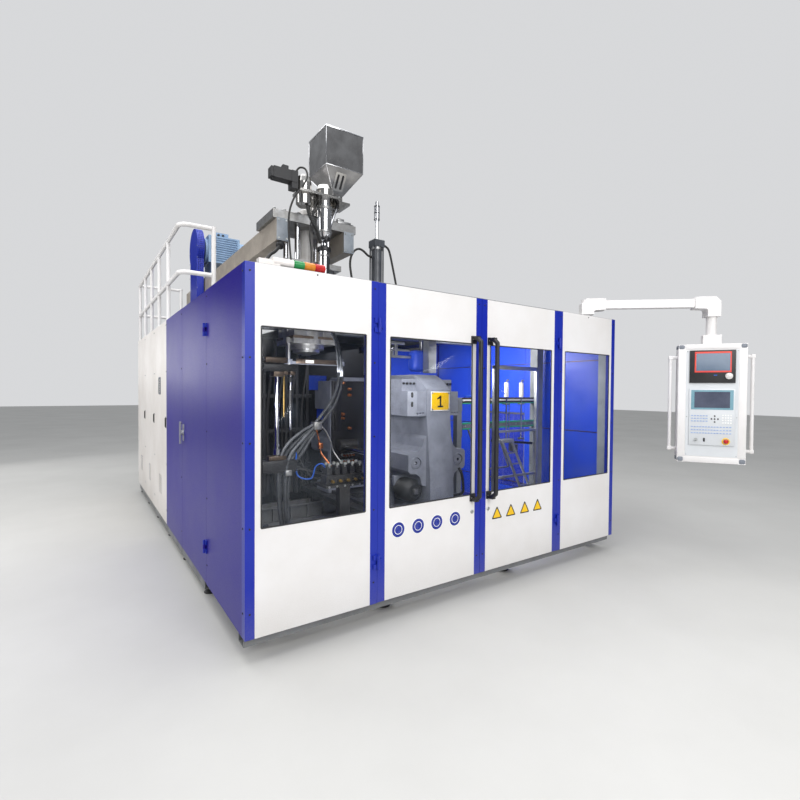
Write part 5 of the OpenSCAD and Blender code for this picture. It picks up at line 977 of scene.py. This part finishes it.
for name, shape, places, material, body in (
        ("station_plate_posts", turned([(5, -14), (5, 2), (8, 2), (8, 5), (0, 6)], 12),
         [(px + sx * (pw - 14), 392.4, pz + sz * (ph - 13)) for sx, sz in signs], "zincPlate", body),
        ("ear_head_bolts", socketHead(20, 14),
         [(axis + s * x, 560, 1676) for s in (-1, 1) for x in range(152, 261, 36)], "blackOxide", body),
        ("rear_mould_bolts", socketHead(22, 14), every((axis - 60, axis, axis + 60), 1830, (900, 1640)), "blackOxide",
         "rear_platen"),
        ("lobe_rings", turned([(48.5, 0), (55, 0), (55, 2), (53, 4), (48.5, 4), (48.5, 0)], 40),
         every((axis - side, axis + side), 405, lobeHigh), "castingGrey", body),
        ("tie_bar_caps", turned([(13, 0), (43, 0), (43, 2), (40, 3), (13, 3), (13, 0)], 36),
         every((axis - side, axis + side), 411, lobeHigh), "castingGrey", body),
        ("platen_drive", turned(fins, 36), [(1534, 622, 772)], "blackNylon", body),
        ("platen_oil_nozzles", turned([(14, 0), (14, 10), (9, 12), (9, 26), (12, 28), (12, 40)], 14),
         every((1460, 2056), 970, (880, 960, 1660)), "turnedBrass", body)):
    addCopies(name, shape, places, material, body, forward)
body = "front_platen"
# painted shade: the slots in the ear chamfers are thin black plates for the shade inside them
slot, chamfer = plate(rounded(20, 46, 10, 6), 1.2), np.array([-65, -50, 0]) / math.hypot(65, 50)
addPiece("ear_slots", join(*[stamp(slot, every(x, 442.5, (1578, 1500)), chamfer * [way, 1, 1], upward)
                             for x, way in ((1508, 1), (2008, -1))]), "blackNylon", body)
addBlocks("platen_drive_nose", (1511, 408, 749, 1557, 436, 795), "milledSteel", body, 4)
addBlocks("platen_drive_bracket", (1440, 600, 800, 1630, 640, 884), "castingGrey", body, 4)
addHose("platen_hose", spline([(1996, 400, 930), (1997, 368, 890), (2008, 362, 810), (2040, 400, 710), (2060, 520, 660),
                               (2054, 610, 626), (2050, 668, 610)]), 13, body=body)

# Take-out unit: bands on both beams, cylinders, rods and lines
takeout = {"x1": 2412, "x2": 3526, "face": 829.5, "cylinders": (3026, 3262), "cylinderAt": 804}
x1, x2, face, pair, ty = (takeout[k] for k in ("x1", "x2", "face", "cylinders", "cylinderAt"))
for name, heights, deep, material in (
        ("lower_belt_edges", [(1222, 1238), (1276, 1294)], 14, "greenBelt"),
        ("lower_belt", [(1239, 1275)], 9, "greyBelt"), ("upper_belt_edge", [(1482, 1494)], 14, "greenBelt"),
        ("upper_belt_rail", [(1495, 1512)], 10, "blackNylon"),
        ("upper_belt_guard", [(1513, 1529)], 12, "whitePowderCoat"),
        ("upper_belt_cover", [(1530, 1548)], 8, "brownedSteel")):
    addBlocks(name, [(x1, face - deep, a, x2, face, b) for a, b in heights], material, edge=1)
addCopies("takeout_cylinders", turned([(24, 0), (24, 150), (20, 156)], 24), every(pair, ty, 1552),
          "whiteGlossPaint")
rodRows = ((pair[0], 1096, 1556, 8), (pair[1], 1096, 1556, 8), (3070, 1100, 1500, 6))
addPiece("takeout_cylinder_rods", join(*[rod((x, ty, z1), (x, ty, z2), r) for x, z1, z2, r in rodRows]), "hardChrome")
bracketRows = ((780, 1470, 832, 1482), (784, 1084, 824, 1104))
addBlocks("takeout_brackets", [(x - 32, y1, z1, x + 32, y2, z2) for y1, z1, y2, z2 in bracketRows for x in pair],
          "milledSteel")
addPiece("takeout_cross_bar", swept([(2811, 806, 1092), (3120, 806, 1062), (3448, 806, 1030)], rounded(26, 26, 5, 3),
                                    hint=backward), "blackOxide")
mouth = lifted(rounded(74, 74, 6, 3))[:, [0, 2, 1]] + (3092, 760, 1006)
addPiece("takeout_tube_mouth", swept(mouth, rounded(8, 60, 2, 3), hint=backward, closed=True), "milledSteel")
addBlocks("takeout_tube_hanger", (3080, 752, 1040, 3104, 812, 1078), "milledSteel", steps=2)
addPiece("takeout_struts", join(*[rod((x1, 838, z1), (x2, 838, 790), 10) for x1, z1, x2 in
                                  ((2500, 1230, 2710), (2900, 1230, 3110), (2710, 790, 3110))]), "milledSteel")
addHose("takeout_air_line", spline([(2440, 820, 1560), (2560, 800, 1572), (2700, 796, 1620), (2860, 800, 1640),
                                    (2990, 808, 1600), (3010, 826, 1566)]), 5, "blueTubing")
addCopies("takeout_elbows", elbowFit, [(3026, 804, 1708), (3262, 804, 1708), (2560, 812, 1549)], "zincPlate")
addCopies("belt_bolts", hexHead(12, 6), every(range(2450, 3520, 150), face - 8.5, 1257), "zincPlate", facing=forward)

# Inner lining of the right wall, in the blue's brighter painted-light copy, and strips that hang in the product outlet
lining = ((24, 156, 1148, 2340), (1752, 156, 2806, 2340), (1150, 156, 1750, 418), (1150, 1352, 1750, 2340))
addBlocks("right_wall_lining", [(3718, y1, z1, 3724, y2, z2) for y1, z1, y2, z2 in lining], "litInnerBlueCoat", edge=1)
addBlocks("lining_seams", [(3714, 162, z, 3719, 2800, z + 9) for z in (480, 1182, 1942)], "brownedSteel", edge=1.5,
          steps=2)
addBlocks("right_post_cover", (3700, 26, 156, 3717, 160, 2340), "steelGreyPaint", steps=2)
strips = {"first": 1157, "pitch": 84.5, "count": 7, "wide": 86, "lap": 4}
stripRail = addBlocks("outlet_strip_rail", (3718, 1150, 1330, 3733, 1750, 1350), "milledSteel", edge=2)
hung = [(3722 + strips["lap"] * (k % 2), strips["first"] + strips["pitch"] * k) for k in range(strips["count"])]
sheet = addBlocks("outlet_strips", [(x, y, 424, x + 3, y + strips["wide"], 1344) for x, y in hung], "stripVinyl",
                  edge=1)

# Rails under the blowing station, and the blue guard behind the hose mast, in the blue's brighter painted-light copy
addBlocks("blow_rails", [(1500, 980, 1926, 1880, 1012, 1950), (1500, 984, 1992, 1880, 1008, 2012),
                         (1546, 986, 1926, 1580, 1006, 2241), (1700, 986, 1926, 1730, 1006, 2060),
                         (1612, 968, 1950, 1672, 1018, 1988), (1540, 972, 2052, 1800, 1012, 2078)], "castAluminium",
          edge=2.5)
addBlocks("blow_guard", (1884, 922, 1800, 2128, 1060, 2010), "litInnerBlueCoat", edge=46, steps=6)
addBlocks("blow_guard_hanger", (1990, 960, 2000, 2030, 1000, 2211), "milledSteel", steps=2)
addHose("blow_air_line", spline([(1600, 990, 2236), (1605, 980, 2150), (1622, 966, 2040), (1606, 950, 1930),
                                 (1570, 946, 1866), (1536, 946, 1900), (1516, 938, 2020), (1518, 922, 2130),
                                 (1522, 914, 2196)]), 5, "blueTubing")

# Light alloy frame of the take-out chute: posts, top rail and a ladder of rungs down to the front
addBlocks("chute_frame", [(2740, 700, 1840, 3430, 738, 1880), (2740, 700, 152, 2772, 738, 1880),
                          (3390, 700, 152, 3422, 738, 1880), (2740, 706, 1180, 3422, 732, 1204),
                          (2740, 706, 700, 3422, 732, 724)], "castAluminium", edge=2.5)
rungs = [swept([(x + 440 * t, 640, 1090 - 780 * t) for x in (2795, 2870, 2945)], rounded(8, 40, 3, 3), hint=backward)
         for t in (0.15, 0.3, 0.45, 0.6, 0.75, 0.9)]
addPiece("chute_ladder", join(*[rod((x, 640, 1100), (x + 440, 640, 320), 14) for x in (2790, 2930)], *rungs),
         "castAluminium")
addBlocks("chute_ladder_feet", [(3210, 620, 152, 3390, 700, 330), (2770, 630, 1084, 2960, 712, 1120)], "castAluminium",
          steps=2)
print("clamp and take-out unit dressed")
